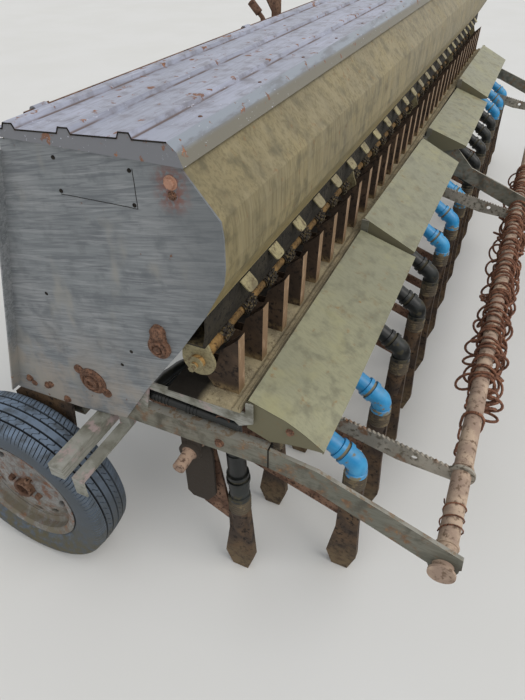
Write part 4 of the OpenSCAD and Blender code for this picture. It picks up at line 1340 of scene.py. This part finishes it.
@dataclass
class Trays(SubAssembly):
    """Four hinged trays, and the side plates with the black tube and hoses beside each."""

    hinge_y: float = -336.0
    hinge_z: float = 166.0
    tilt: float = 17.0
    tray_w: float = 185.0
    sheet: float = 2.5
    # middle and half length of tray 1, and the edges of its sheet and cheeks from its hinge
    middle_x: float = 440.5
    half: float = 426.5
    inner_edge: float = -9.0
    cheek_end: float = 182.0
    # dent of tray 1 at its near outer corner: depth, length along the tray, and where it starts outwards
    dent: float = 28.0
    dent_length: float = 190.0
    dent_from: float = 80.0

    def dressing(self) -> Dressing:
        """Finishes of the trays, their brackets, the side arms and the black tubes."""
        f = self.finishes
        trays = [(paint, [f"tray_{index + 1}"]) for index, paint in enumerate(f.trays)]
        return trays + [(f.beam, ["tray_brackets"]), (f.bracket_paint, ["side_arm_left", "side_arm_right"]),
                        (f.dark_hose, ["pressure_tubes"])]

    def add_pieces(self) -> None:
        """Adds the cheek's bolt, the ribs on the tubes, the hoses and the dented tray."""
        f = self.finishes
        bolt = hex_bolt([from_left(13.8), self.hinge_y - 92, self.hinge_z - 44], LEFT, 15)
        make_piece("cheek_bolt", bolt, f.bolt, "tray_1")
        make_piece("hose_rings", self.hose_rings(), f.dark_hose)
        make_piece("branch_hoses", self.branch_hoses(), f.dark_hose)
        make_piece("bent_tray_1", self.bent_tray(), f.trays[0], "tray_1", ["tray_1"], 40)

    def hose_rings(self) -> Shell:
        """Ribs on the black tubes beside the side plates: rings 9 mm apart near their clamps.

        Returns:
            The forms of both ends.
        """
        start, end = np.array([[-40.0, 88.0], [-300.0, 74.0]])
        direction = unit(end - start)
        along = np.concatenate([np.arange(34, 80, 9.0), np.arange(128, 160, 9.0)])
        places = start + along[:, None] * direction
        ring = turned_part([[12.4, -2], [14.6, -1], [14.6, 1], [12.4, 2]], ORIGIN, (0, *direction), 20,
                           ring=True)
        return both_ends(ring.repeated(in_plane(TUBE_X, places)))

    def branch_hoses(self) -> Shell:
        """Black hoses from each side plate into the top of the rear cross tube.

        A hose runs evenly in x; y and height leave their first value and near the last as a cosine,
        with a sag of a half sine between. Its far end is wholly inside the cross tube.

        Returns:
            The forms of both ends.
        """
        inside_y, inside_z = -160.0, 36.0
        t = np.linspace(0, 1, 30)
        ease = 0.5 - 0.5 * np.cos(np.pi * t)
        ribs = 14.0 + 0.8 * np.sin(t * 130.0)
        hoses = []
        for x0, y0, z0, x1 in ((8.5, -94, 131, 470), (38.0, -92, 106, 400), (38.0, -86, 80, 350)):
            path = np.column_stack([from_left(x0 + (x1 - x0) * t), y0 + (inside_y - y0) * ease,
                                    z0 + (inside_z - z0) * ease - 6 * np.sin(np.pi * t)])
            hoses.append(tube(path, ribs, 16, UP))
        return both_ends(joined(hoses))

    def drop(self, along: Array, out: Array) -> Array:
        """Dent of tray 1: how far its near outer corner is bent down.

        Args:
            along: Distance from the tray's near end.
            out: Distance outwards from the hinge.

        Returns:
            The dent's depth at the corner, falling by smooth steps to 0 at the dent's length along
            the tray and where it starts outwards.
        """
        a = np.clip(1 - along / self.dent_length, 0, 1)
        b = np.clip((out - self.dent_from) / (self.tray_w - self.dent_from), 0, 1)
        return self.dent * a * a * (3 - 2 * a) * b * (0.5 + 0.5 * b)

    def bent_tray(self) -> Shell:
        """Tray 1 with its dent: a sheet with a turned-down lip, and two cheeks.

        Returns:
            The tray, turned and moved to its place.
        """
        top, under, lip = 9.5, 7.0, 1.0
        half, width, thick = self.half, self.tray_w, self.sheet
        along = np.unique(np.concatenate([np.linspace(0, 240, 25), np.linspace(240, 2 * half, 16)]))
        # profile of sheet and lip: out along the top, round the lip and back along the underside
        across = np.array([self.inner_edge, 40, 80, 100, 120, 140, 160, width, width])
        back = np.array([width - thick, width - thick, 160, 140, 120, 100, 80, 40, self.inner_edge])
        height = np.array([top] * 8 + [lip, lip] + [under] * 8)
        out = np.concatenate([across, back])
        x = np.repeat((along - half)[:, None], len(out), 1)
        bend = self.drop(along[:, None], out[None])
        sheet = np.stack([x, -np.broadcast_to(out, x.shape), height - bend], -1)
        # a cheek's top follows the dent, and so does its lower edge
        out = np.array([self.inner_edge, 12.9, 40, 72, 90, 110, 130, 150, 170, self.cheek_end])
        low = np.interp(out, [self.inner_edge, 12.9, 72.0, self.cheek_end], [-4.0, -75.0, -79.0, 3.0])
        parts = [slab(sheet)]
        for x0, near in ((-half, 0.0), (half - thick, 2 * half)):
            fall = self.drop(np.full(len(out), near), out)
            edge = np.concatenate([np.column_stack([-out, under + 0.5 - fall]),
                                   np.column_stack([-out, low - fall])[::-1]])
            parts.append(slab(np.stack([in_plane(x, edge) for x in (x0, x0 + thick)])))
        tilted = joined(parts).turned(rotation(Axis.X, self.tilt))
        return tilted.moved([from_left(self.middle_x), self.hinge_y, self.hinge_z])


class TubeColour(Enum):
    """Colours of the seed tubes."""

    BLUE = "blue"
    DARK = "dark"


@dataclass
class SeedTubes(SubAssembly):
    """Telescoping seed tubes with elbows, and the boots that they end in."""

    funnel_y: float = -262.0
    top_z: float = 75.7
    diameter: float = 50.0
    bend_r: float = 30.0
    elbow_rise: float = 38.0
    rank_y: tuple[float, float] = (-274.0, -552.0)
    socket_z: tuple[float, float] = (-252.0, -150.0)
    socket_h: float = 50.0
    sides: int = 24

    def dressing(self) -> Dressing:
        """Finishes of the boots and arms."""
        f = self.finishes
        return [(f.boot, ["coulter_boots_front", "coulter_boots_rear"]), (f.rust, ["coulter_arms"])]

    def add_pieces(self) -> None:
        """Adds the tubes in place of their nodes, and ribbed sockets."""
        f = self.finishes
        for colour, paint in ((TubeColour.BLUE, f.blue_hose), (TubeColour.DARK, f.dark_hose)):
            make_piece(f"{colour.value}_seed_tubes", self.tubes(colour), paint,
                       replaced=[f"seed_tubes_{colour.value}"])
        make_piece("ribbed_sockets", self.sockets(), f.socket)

    def rows_of(self, colour: TubeColour) -> Array:
        """Rows that have tubes of a colour, as in the construction.

        Args:
            colour: Colour of the tubes.

        Returns:
            Numbers of the rows.
        """
        rows = np.arange(ROWS)
        blue = ((rows > 0) & (rows < 4)) | ((rows > 9) & (rows < 16)) | (rows > 26)
        return rows[blue if colour is TubeColour.BLUE else ~blue]

    def tube_of(self, rank: int) -> Shell:
        """One tube of the front (0) or rear (1) rank, at x = 0.

        Its middle line is straight from the funnel to the elbow, then an arc, then straight down.
        Its radius steps up where the outer tube starts and at the two collars.

        Args:
            rank: 0 for the front coulters, 1 for the rear ones.

        Returns:
            The tube as a closed shell with its dusty lengths marked.
        """
        start = np.array([self.funnel_y, self.top_z])
        socket = self.socket_z[rank]
        bend = np.array([self.rank_y[rank], socket + self.elbow_rise])
        run = np.linalg.norm(bend - start)
        ahead = (bend - start) / run
        down = np.array([0.0, -1.0])
        half = math.acos(float(np.clip(ahead @ down, -1, 1))) / 2
        cut = self.bend_r * math.tan(half)
        r = self.diameter / 2
        # lengths along the straight run with the radius at each: inner tube, outer tube, two collars
        before_bend = run - np.array([66, 65, 54, 53, 46, 45, 33, 32])
        s = np.array([0, 0.42 * run, 0.425 * run, 0.5 * run, 0.505 * run, *before_bend,
                      max(before_bend[-1], run - cut - 1)])
        radius = r + np.array([-4, -4, -2.6, -2.6, 0, 0, 5, 5, 1, 1, 7, 7, 3, 3])
        dusty = [0.1, 0.1, 0.4, 0.4, 0.0, 0.1, 0.1, 0.1, 0.95, 0.95, 0.0, 0.0, 0.3, 0.3]
        straight = start + s[:, None] * ahead
        angle = np.linspace(0, 2 * half, 9)[1:]
        inward = unit(down - (down @ ahead) * ahead)
        swing = np.sin(angle)[:, None] * ahead + (1 - np.cos(angle))[:, None] * inward
        arc = bend - cut * ahead + self.bend_r * swing
        stub = np.array([[bend[0], socket + rise] for rise in (14, 12, 0.5)])
        line = np.vstack([straight, arc, stub])
        radius = np.concatenate([radius, np.full(len(arc), r + 3), [r + 1, r + 5, r + 5]])
        dusty = np.concatenate([dusty, np.full(len(arc), 0.3), [0.4, 0.8, 0.9]])
        return tube(in_plane(0.0, line), radius, self.sides, RIGHT, tone=dusty)

    def tubes(self, colour: TubeColour) -> Shell:
        """All tubes of one colour."""
        rows = self.rows_of(colour)
        return joined([self.tube_of(rank).at_x(row_x(rows[rows % 2 == rank])) for rank in (0, 1)])

    def sockets(self) -> Shell:
        """Ribbed collars round the boots' sockets: five ribs, 10 mm apart.

        Returns:
            The collars of both ranks.
        """
        z = np.linspace(0, self.socket_h, 21)
        outer = 29.4 + 2.4 * (0.5 - 0.5 * np.cos(2 * np.pi * z / 10.0))
        bore = [[28.0, 0.0], [28.0, -self.socket_h]]
        outline = np.vstack([np.column_stack([outer, z - self.socket_h]), bore])
        ring = turned_part(outline, ORIGIN, UP, 22, ring=True)
        ring.tone[:] = 0.5
        return joined([ring.moved([0, self.rank_y[rank], self.socket_z[rank]]).at_x(row_x(rows))
                       for rank, rows in enumerate((FRONT_ROWS, REAR_ROWS))])


@dataclass(frozen=True)
class LinkSet:
    """Loose links in a row along the harrow pipe.

    Attributes:
        ahead: How far the links' middles lie ahead of the pipe's.
        above: How far they lie above it.
        lean: Most that a link is turned about y and z, in degrees.
        step: Distance between links.
        first: Place of the first link from the left end plate.
        loose: Most that a link is off its place along each axis.
    """

    ahead: float
    above: float
    lean: float
    step: float
    first: float
    loose: float = 11.0


@dataclass
class Harrow(SubAssembly):
    """Pipe behind the coulters, its arms and bars, and the chains that hang from it."""

    pipe_y: float = -803.0
    pipe_z: float = -128.0
    pipe_d: float = 48.0
    wire: float = 8.0
    chains: int = 10
    first_x: float = 480.0
    span: float = 220.0
    link_r: float = 36.0
    mat_end: float = 2500.0
    mat: tuple[LinkSet, ...] = (
        LinkSet(-3.0, -6.0, 16.0, 31.0, 640.0, 5.0), LinkSet(-28.0, -34.0, 60.0, 38.0, 560.0),
        LinkSet(-32.0, -78.0, 70.0, 44.0, 600.0), LinkSet(26.0, -52.0, 70.0, 60.0, 700.0))

    def dressing(self) -> Dressing:
        """Finishes of the pipe, its arms and its bars."""
        f = self.finishes
        return [(f.pink_rust, ["harrow_pipe"]), (f.beam, ["harrow_arms"]), (f.serrated, ["serrated_bars"])]

    def add_pieces(self) -> None:
        """Adds chains, rings and wire."""
        f = self.finishes
        make_piece("harrow_chain_links", self.chain_links(), f.chain,
                   replaced=["harrow_chains"], crease=60)
        make_piece("chain_mat", self.chain_mat(), f.chain, crease=60)
        make_piece("pipe_rings", self.pipe_rings(), f.pink_rust)
        make_piece("pipe_wire", self.wire_wraps(), f.chain, crease=60)

    def chain_links(self) -> Shell:
        """Loops round the pipe, three links below each, and garlands of links from chain to chain.

        Returns:
            All strands and garlands.
        """
        r = self.wire / 2
        play, droop, inner_w, inner_h = 0.6, 30, 28, 50
        top = self.pipe_z + self.pipe_d / 2 + play
        hang = top - self.pipe_d - droop + r
        loop = tube(ring_path(self.pipe_d + 2 * (play + r), self.pipe_d + droop + 2 * r, 9), r, 8, (0, 1, 0),
                    closed=True)
        loop = loop.turned(rotation(Axis.Z, 90)).moved([0, self.pipe_y, top + r])
        link = tube(ring_path(inner_w + 2 * r, inner_h + 2 * r, 7), r, 8, (0, 1, 0), closed=True)
        below = [link.turned(rotation(Axis.Y, tilt) @ rotation(Axis.Z, 90 * (j % 2)))
                 .moved([j * 3 - 3, self.pipe_y, hang + r - 1 - j * inner_h])
                 for j, tilt in enumerate((9, -6, 12))]
        x = from_left(self.first_x) + self.span * np.arange(self.chains)
        hung = joined([loop, *below]).at_x(x)
        # garland: links on a sagging line between two chains, each turned a quarter from the last
        t = (np.arange(5) + 0.5) / 5
        sag_x = self.span * t
        sag_z = hang - 120 - 55 * (1 - (2 * t - 1) ** 2)
        slope = np.degrees(np.arctan2(np.gradient(sag_z), np.gradient(sag_x)))
        swags = [link.moved([0, 0, 25 + r])
                 .turned(rotation(Axis.Y, 90 - slope[k]) @ rotation(Axis.Z, 90 * (k % 2)))
                 .moved([sag_x[k], self.pipe_y + 4 * (-1) ** k, sag_z[k]])
                 for k in range(len(t))]
        return joined([hung, joined(swags).at_x(x[:-1])])

    def chain_mat(self) -> Shell:
        """Heap of round links slung about the pipe, as a chain harrow that was rolled up on it.

        Links of the first set ring the pipe. Those of the other sets hang behind it, and a few
        before it, at random turns and places that a fixed seed sets.

        Returns:
            All loose links.
        """
        rng = np.random.default_rng(7)
        angle = np.linspace(0, 2 * np.pi, 18, endpoint=False)
        link = tube(round_x(0.0, self.link_r, angle), 4.4, 6, RIGHT, closed=True)
        parts = []
        for row in self.mat:
            for x in np.arange(row.first, self.mat_end, row.step):
                about_z, about_y = (float(rng.uniform(-row.lean, row.lean)) for _ in range(2))
                place = np.array([from_left(x), self.pipe_y + row.ahead, self.pipe_z + row.above])
                off = rng.uniform(-5, 5, 3) * (row.loose / 5)
                lean = rotation(Axis.Z, about_z) @ rotation(Axis.Y, about_y)
                parts.append(link.turned(lean).moved(place + off))
        return joined(parts)

    def pipe_rings(self) -> Shell:
        """Rings pressed on the pipe beside its arms, with weld-like rounded faces."""
        ring = turned_part([[23.5, -5], [27, -4], [28, 0], [27, 4], [23.5, 5]], [0, self.pipe_y, self.pipe_z],
                           RIGHT, 24, ring=True)
        return ring.at_x(from_left(np.array([52.0, 290.0, 1880.0, 2010.0, 3748.0, 3960.0])))

    def wire_wraps(self) -> Shell:
        """Rusty wire wound round the pipe near its left end: a helix of three loose turns.

        Returns:
            The form in millimetres from the datum.
        """
        turns = np.linspace(0, 3 * 2 * np.pi, 3 * 16)
        r = self.pipe_d / 2 + 3.0 + 1.2 * np.sin(turns * 0.37)
        x = from_left(84) + 5.2 * turns + 2.5 * np.sin(turns * 0.61)
        return tube(round_x(x, r, turns, (self.pipe_y, self.pipe_z)), 1.9, 6, (1, 0.02, 0.01))


@dataclass
class Frame(SubAssembly):
    """Beams, cross tubes, headstock and brackets, with bolts and pins."""

    clip_y: float = -262.0
    clip_z: float = 78.0
    clip_half: float = 9.0

    def dressing(self) -> Dressing:
        """Finishes of the frame's nodes."""
        f = self.finishes
        return [(f.beam, ["side_beam_left", "side_beam_right", "rear_cross_tube", "front_beam", "coulter_bar",
                          "headstock"]),
                (f.bracket_paint, ["side_bracket_left", "side_bracket_right"]),
                (f.boot, ["wheel_leg_left", "wheel_leg_right"]), (f.lift, ["lift_shaft"])]

    def add_pieces(self) -> None:
        """Adds the frame's fasteners and seams."""
        f = self.finishes
        make_piece("beam_bolts", self.beam_bolts(), f.bolt)
        make_piece("beam_joints", self.joints(), f.gap)
        make_piece("beam_clips", self.clips(), f.rust)
        make_piece("hitch_lock_pins", self.lock_pins(), f.bolt)

    def beam_bolts(self) -> Shell:
        """Bolts on the outer faces of the side beams."""
        places = [[-HALF_W, -260, 24], [-HALF_W, 230, 28], [-HALF_W, 290, 10]]
        return both_ends(bolts_at(places, LEFT, 19))

    def joints(self) -> Shell:
        """Dark seam where each side beam meets its harrow arm."""
        return both_ends(box_form([-HALF_W - 0.6, -385.0, -5.0], [-HALF_W + 24, -381.5, 57.0]))

    def clips(self) -> Shell:
        """Bent strip that holds the black tube at the top of each side beam: a ring open below.

        Returns:
            The forms of both ends.
        """
        angle = np.linspace(-0.4, np.pi + 0.2, 12)
        radius = np.repeat([17.0, 20.0], len(angle))
        x = TUBE_X + self.clip_half * np.array([[-1.0], [1.0]])
        band = round_x(x, radius, np.concatenate([angle, angle[::-1]]), (self.clip_y, self.clip_z))
        return both_ends(slab(band))

    def lock_pins(self) -> Shell:
        """Spring rings through the ends of the lower hitch pins."""
        loop = ring_path(30.0, 44.0, 8) @ rotation(Axis.Z, 90).T
        return both_ends(tube(loop, 2.2, 8, RIGHT, closed=True).moved([-447.0, 560.0, -70.0]))


@dataclass
class Wheel(SubAssembly):
    """A road tyre on a pressed rim, with its hub."""

    side: int = -1
    middle_x: float = 2082.5
    axle_y: float = 327.0
    axle_z: float = -313.0
    tread_r: float = 281.0
    tread_drop: float = 5.5
    tread_half: float = 58.0
    pitches: int = 72
    groove_at: tuple[float, ...] = (-36.0, -12.0, 12.0, 36.0)
    groove_depth: float = 7.0
    sipe_depth: float = 5.5
    vents: int = 10
    vent_r: float = 118.0
    vent_depth: float = 11.0
    nut_circle_r: float = 47.0

    def add_pieces(self) -> None:
        """Adds tyre, rim and hub in place of their nodes."""
        end = "left" if self.side < 0 else "right"
        body = f"wheel_{end}"
        f = self.finishes
        make_piece(f"road_tyre_{end}", self.placed(self.tyre()), f.tyre, body,
                   [f"tyre_{end}"], 38)
        make_piece(f"pressed_rim_{end}", self.placed(joined([self.rim(), self.disc()])), f.rim,
                   body, [f"rim_{end}"], 34)
        make_piece(f"wheel_hub_{end}", self.placed(self.hub()), f.rust, body)

    def placed(self, shell: Shell) -> Shell:
        """Moves a form from the wheel's own frame, whose x points outwards, to its place."""
        points = shell.points * [self.side, 1.0, 1.0] + [self.side * self.middle_x, self.axle_y, self.axle_z]
        return Shell(points, shell.faces, shell.tone)

    def tread_lines(self) -> tuple[Array, Array]:
        """Lateral places of the tread's lines and the groove depth at each.

        Returns:
            Places in millimetres from the tyre's middle, and depths; a groove is two deep lines
            between two shallow ones.
        """
        grooves = np.array(self.groove_at)
        shallow = np.concatenate([grooves - 2.8, grooves + 2.8])
        deep = np.concatenate([grooves - 1.5, grooves + 1.5])
        ribs = np.concatenate([np.linspace(a + 5.5, b - 5.5, 5) for a, b in zip(grooves[:-1], grooves[1:])])
        shoulders = np.array([40.5, 45.0, 49.5, 54.0, self.tread_half])
        flat = np.concatenate([shallow, ribs, shoulders, -shoulders])
        places = np.concatenate([flat, deep])
        depth = np.concatenate([0 * flat, 0 * deep + self.groove_depth])
        order = np.argsort(places)
        return places[order], depth[order]

    def tyre(self) -> Shell:
        """Tyre as a grid of profile line by angle.

        The tread's radius falls with the square of the lateral place. Lines of the same angle lean
        with the place, as the real cuts do: an S across the two side ribs and a slant on the
        shoulders. Every pitch has one cut line, and a second on the shoulders only.

        Returns:
            The closed tyre in the wheel's own frame.
        """
        flat, depth = self.tread_lines()
        tread = np.column_stack([flat, self.tread_r - self.tread_drop * (flat / self.tread_half) ** 2])
        wall = np.array([[63.5, 272.0], [68.0, 266.0], [70.8, 257.0], [72.2, 245.0], [72.4, 231.0],
                         [71.2, 218.0], [70.6, 216.5], [69.5, 214.0], [66.0, 202.0], [61.5, 193.0],
                         [57.0, 187.5], [53.5, 184.0], [50.0, 178.0], [48.4, 166.0]])
        zero = np.zeros(len(wall))
        profile = np.vstack([wall[::-1] * [-1, 1], tread, wall])
        groove = np.concatenate([zero, depth, zero])
        place, size = profile[:, 0], np.abs(profile[:, 0])
        on_rib = (size > 14.5) & (size < 33.5)
        on_shoulder = (size > 39) & (profile[:, 1] > 262.0)
        # places of the lines within a pitch; the second is in the first cut, the sixth in the other
        steps = np.array([0.0, 0.055, 0.11, 0.30, 0.50, 0.545, 0.59, 0.80])
        first, second = (np.tile(np.arange(len(steps)) == k, self.pitches)[None] for k in (1, 5))
        wave = 0.30 * np.sin(2 * np.pi * (size - 12) / 24) * (size > 12)
        lean = np.where(size < 36, wave, 0.012 * (size - 36)) * np.sign(place) + 0.5 * (place > 0)
        columns = (np.arange(self.pitches)[:, None] + steps[None]).reshape(-1)
        angle = 2 * np.pi / self.pitches * (columns[None, :] + lean[:, None])
        cuts = first * (on_rib | on_shoulder)[:, None] + 0.8 * second * on_shoulder[:, None]
        sink = np.maximum(groove[:, None], self.sipe_depth * cuts)
        edge = np.gradient(profile, axis=0)
        inward = unit(np.column_stack([edge[:, 1], -edge[:, 0]]))
        inward *= -np.sign(np.sum(inward * (profile - [0, 200]), axis=1, keepdims=True))
        across, radius = (profile[:, k, None] + sink * inward[:, k, None] for k in (0, 1))
        points = round_x(across, radius, angle)
        # the tone marks the grooves and cuts by depth, where the finish paints shade
        return grid(points, loop_u=True, loop_v=True, tone=np.clip(sink / 5.0, 0, 1))

    def rim(self) -> Shell:
        """Rim: its rolled flanges, bead seats and well, as one turned ring."""
        outline = [[184, 57], [184.5, 59.5], [182, 60.5], [178, 59.5], [166, 52], [165.4, 40], [164, 34],
                   [144, 26], [143.5, 0], [144, -30], [164, -40], [165.4, -50], [178, -56.5], [182, -57.5],
                   [183.6, -59.5], [181, -60.5], [176, -60], [162, -53], [161, -41], [140, -33], [139.5, 0],
                   [140, 22], [160, 30], [161.5, 54], [170, 58.5], [178, 60.2]]
        return turned_part(outline, ORIGIN, RIGHT, 96, ring=True)

    def disc(self) -> Shell:
        """Pressed disc: a shallow dish whose face sinks into oval pockets near its edge, which the tone marks
        for painted shade.

        Returns:
            The closed disc in the wheel's own frame.
        """
        radius = np.concatenate([[30.0, 45, 52, 58, 64, 72, 84, 96], np.linspace(100, 138, 15), [141.0]])
        face = np.interp(radius, [30, 52, 58, 72, 96, 104, 128, 141], [36, 36.5, 35, 32, 31.5, 30, 27, 22])
        angle = np.linspace(0, 2 * np.pi, self.vents * 18, endpoint=False)
        turn = (angle * self.vents / (2 * np.pi)) % 1.0 - 0.5
        # a pocket is an oval, 34 mm round the wheel and 19 mm across
        along = turn[None] * (2 * np.pi * self.vent_r / self.vents) / 17.0
        off = (radius[:, None] - self.vent_r) / 9.5
        hollow = np.clip(1.25 * (1 - along**2 - off**2), 0, 1)
        out = face[:, None] - self.vent_depth * hollow
        points = round_x(out, radius[:, None], angle)
        sheet = np.concatenate([points, points[::-1] - [5.0, 0.0, 0.0]])
        tone = np.concatenate([hollow**0.7, np.zeros_like(hollow)])
        return grid(sheet, loop_u=True, loop_v=True, tone=tone)

    def hub(self) -> Shell:
        """Hub ring without its cap, the axle's nut inside, and four wheel nuts.

        Returns:
            The hub in the wheel's own frame.
        """
        ring = turned_part([[21, 30], [31, 30], [31, 52], [29, 55], [23, 55], [21, 53]], ORIGIN, RIGHT, 36,
                           ring=True)
        barrel = turned_part([[17.9, -64], [46, -64], [46, 28], [40, 31.5], [17.9, 31.5]], ORIGIN, RIGHT, 36,
                             ring=True)
        nut = turned_part([[0, 30], [15, 30], [15, 42], [12.5, 44], [0, 44]], ORIGIN, RIGHT, 6)
        angle = np.radians(np.arange(4) * 90.0 + 30.0)
        nuts = turned_part([[0, -1], [11, -1], [10.5, 2], [9.5, 12], [6, 15], [0, 15]], ORIGIN, RIGHT, 6)
        return joined([ring, barrel, nut, nuts.repeated(round_x(35.5, self.nut_circle_r, angle))])


# Studio


@dataclass
class Studio:
    """Camera at the photograph's place, pale floor and soft light."""

    position: tuple[float, float, float] = (-2.734, -0.5815, 1.597)
    right: tuple[float, float, float] = (0.408, -0.913, 0.0)
    up: tuple[float, float, float] = (0.580, 0.260, 0.772)
    back: tuple[float, float, float] = (-0.705, -0.315, 0.636)
    lens: float = 28.23
    floor_half: float = 60.0
    floor_drop: float = 0.001
    sky: float = 0.62
    key: float = 1.35
    fill: float = 0.45

    def build(self) -> None:
        """Sets up the camera, the floor, the lamps and the world."""
        self.camera()
        self.floor()
        self.lamps()
        self.world()
        bpy.context.scene.view_settings.view_transform = "Standard"

    def camera(self) -> None:
        """Camera from its place and its three directions; 36 mm of film along the picture's height."""
        data = bpy.data.cameras.new("photo_camera")
        data.lens = self.lens
        data.sensor_fit = "VERTICAL"
        data.sensor_height = 36.0
        data.clip_end = 200.0
        camera = bpy.data.objects.new("photo_camera", data)
        axes = np.column_stack([unit(self.right), unit(self.up), unit(self.back)])
        camera.matrix_world = Matrix(axes.tolist()).normalized().to_4x4()
        camera.matrix_world.translation = self.position
        bpy.context.scene.collection.objects.link(camera)
        bpy.context.scene.camera = camera

    def floor(self) -> None:
        """Large pale floor just under the tyres; it keeps the machine's shadow."""
        mesh = bpy.data.meshes.new("studio_floor")
        corners = [(self.floor_half * x, self.floor_half * y, -self.floor_drop)
                   for x, y in ((-1, -1), (1, -1), (1, 1), (-1, 1))]
        mesh.from_pydata(corners, [], [(0, 1, 2, 3)])
        s = Surface("pale studio floor", "#d9d8d4", 0.9)
        s.cover(s.grain(900, 0.3, 0.7, detail=2), "#dcdbd8")
        mesh.materials.append(s.done(0.1))
        floor = bpy.data.objects.new("studio_floor", mesh)
        bpy.context.scene.collection.objects.link(floor)

    def lamps(self) -> None:
        """A broad warm key from above the camera's right and a weak cool fill from the front left."""
        for name, turn, power, spread, tint in (("soft_key", (38, -14, 12), self.key, 40, (1.0, 0.97, 0.93)),
                                                ("fill", (62, 0, -75), self.fill, 90, (0.95, 0.97, 1.0))):
            data = bpy.data.lights.new(name, "SUN")
            data.energy = power
            data.angle = math.radians(spread)
            data.color = tint
            lamp = bpy.data.objects.new(name, data)
            lamp.rotation_euler = tuple(math.radians(t) for t in turn)
            bpy.context.scene.collection.objects.link(lamp)

    def world(self) -> None:
        """Even sky light; what the camera and reflections see is plain white."""
        world = bpy.data.worlds.new("studio_world")
        bpy.context.scene.world = world
        world.use_nodes = True
        tree = world.node_tree
        tree.nodes.clear()
        path = add(tree, "ShaderNodeLightPath")
        seen = path.outputs["Is Camera Ray"]
        for ray in ("Is Glossy Ray", "Is Transmission Ray"):
            seen = add(tree, "ShaderNodeMath", {0: seen, 1: path.outputs[ray]},
                       operation="MAXIMUM").outputs[0]
        sky, white = (add(tree, "ShaderNodeBackground", {"Color": tint, "Strength": power})
                      for tint, power in (((0.93, 0.96, 1.0, 1.0), self.sky), ((1.0, 1.0, 1.0, 1.0), 1.0)))
        both = add(tree, "ShaderNodeMixShader", {0: seen, 1: sky.outputs[0], 2: white.outputs[0]})
        add(tree, "ShaderNodeOutputWorld", {0: both.outputs[0]})


def main() -> None:
    """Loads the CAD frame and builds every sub-assembly on it."""
    logging.basicConfig(level=logging.INFO, format="%(message)s", stream=sys.stdout)
    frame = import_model()
    nodes = frame["nodes"]
    finishes = Finishes()
    Studio().build()
    parts = [kind(finishes) for kind in (Hopper, Metering, Trays, SeedTubes, Harrow, Frame)]
    for part in [*parts, Wheel(finishes, -1), Wheel(finishes, 1)]:
        part.build(nodes)


if __name__ == "__main__":
    main()
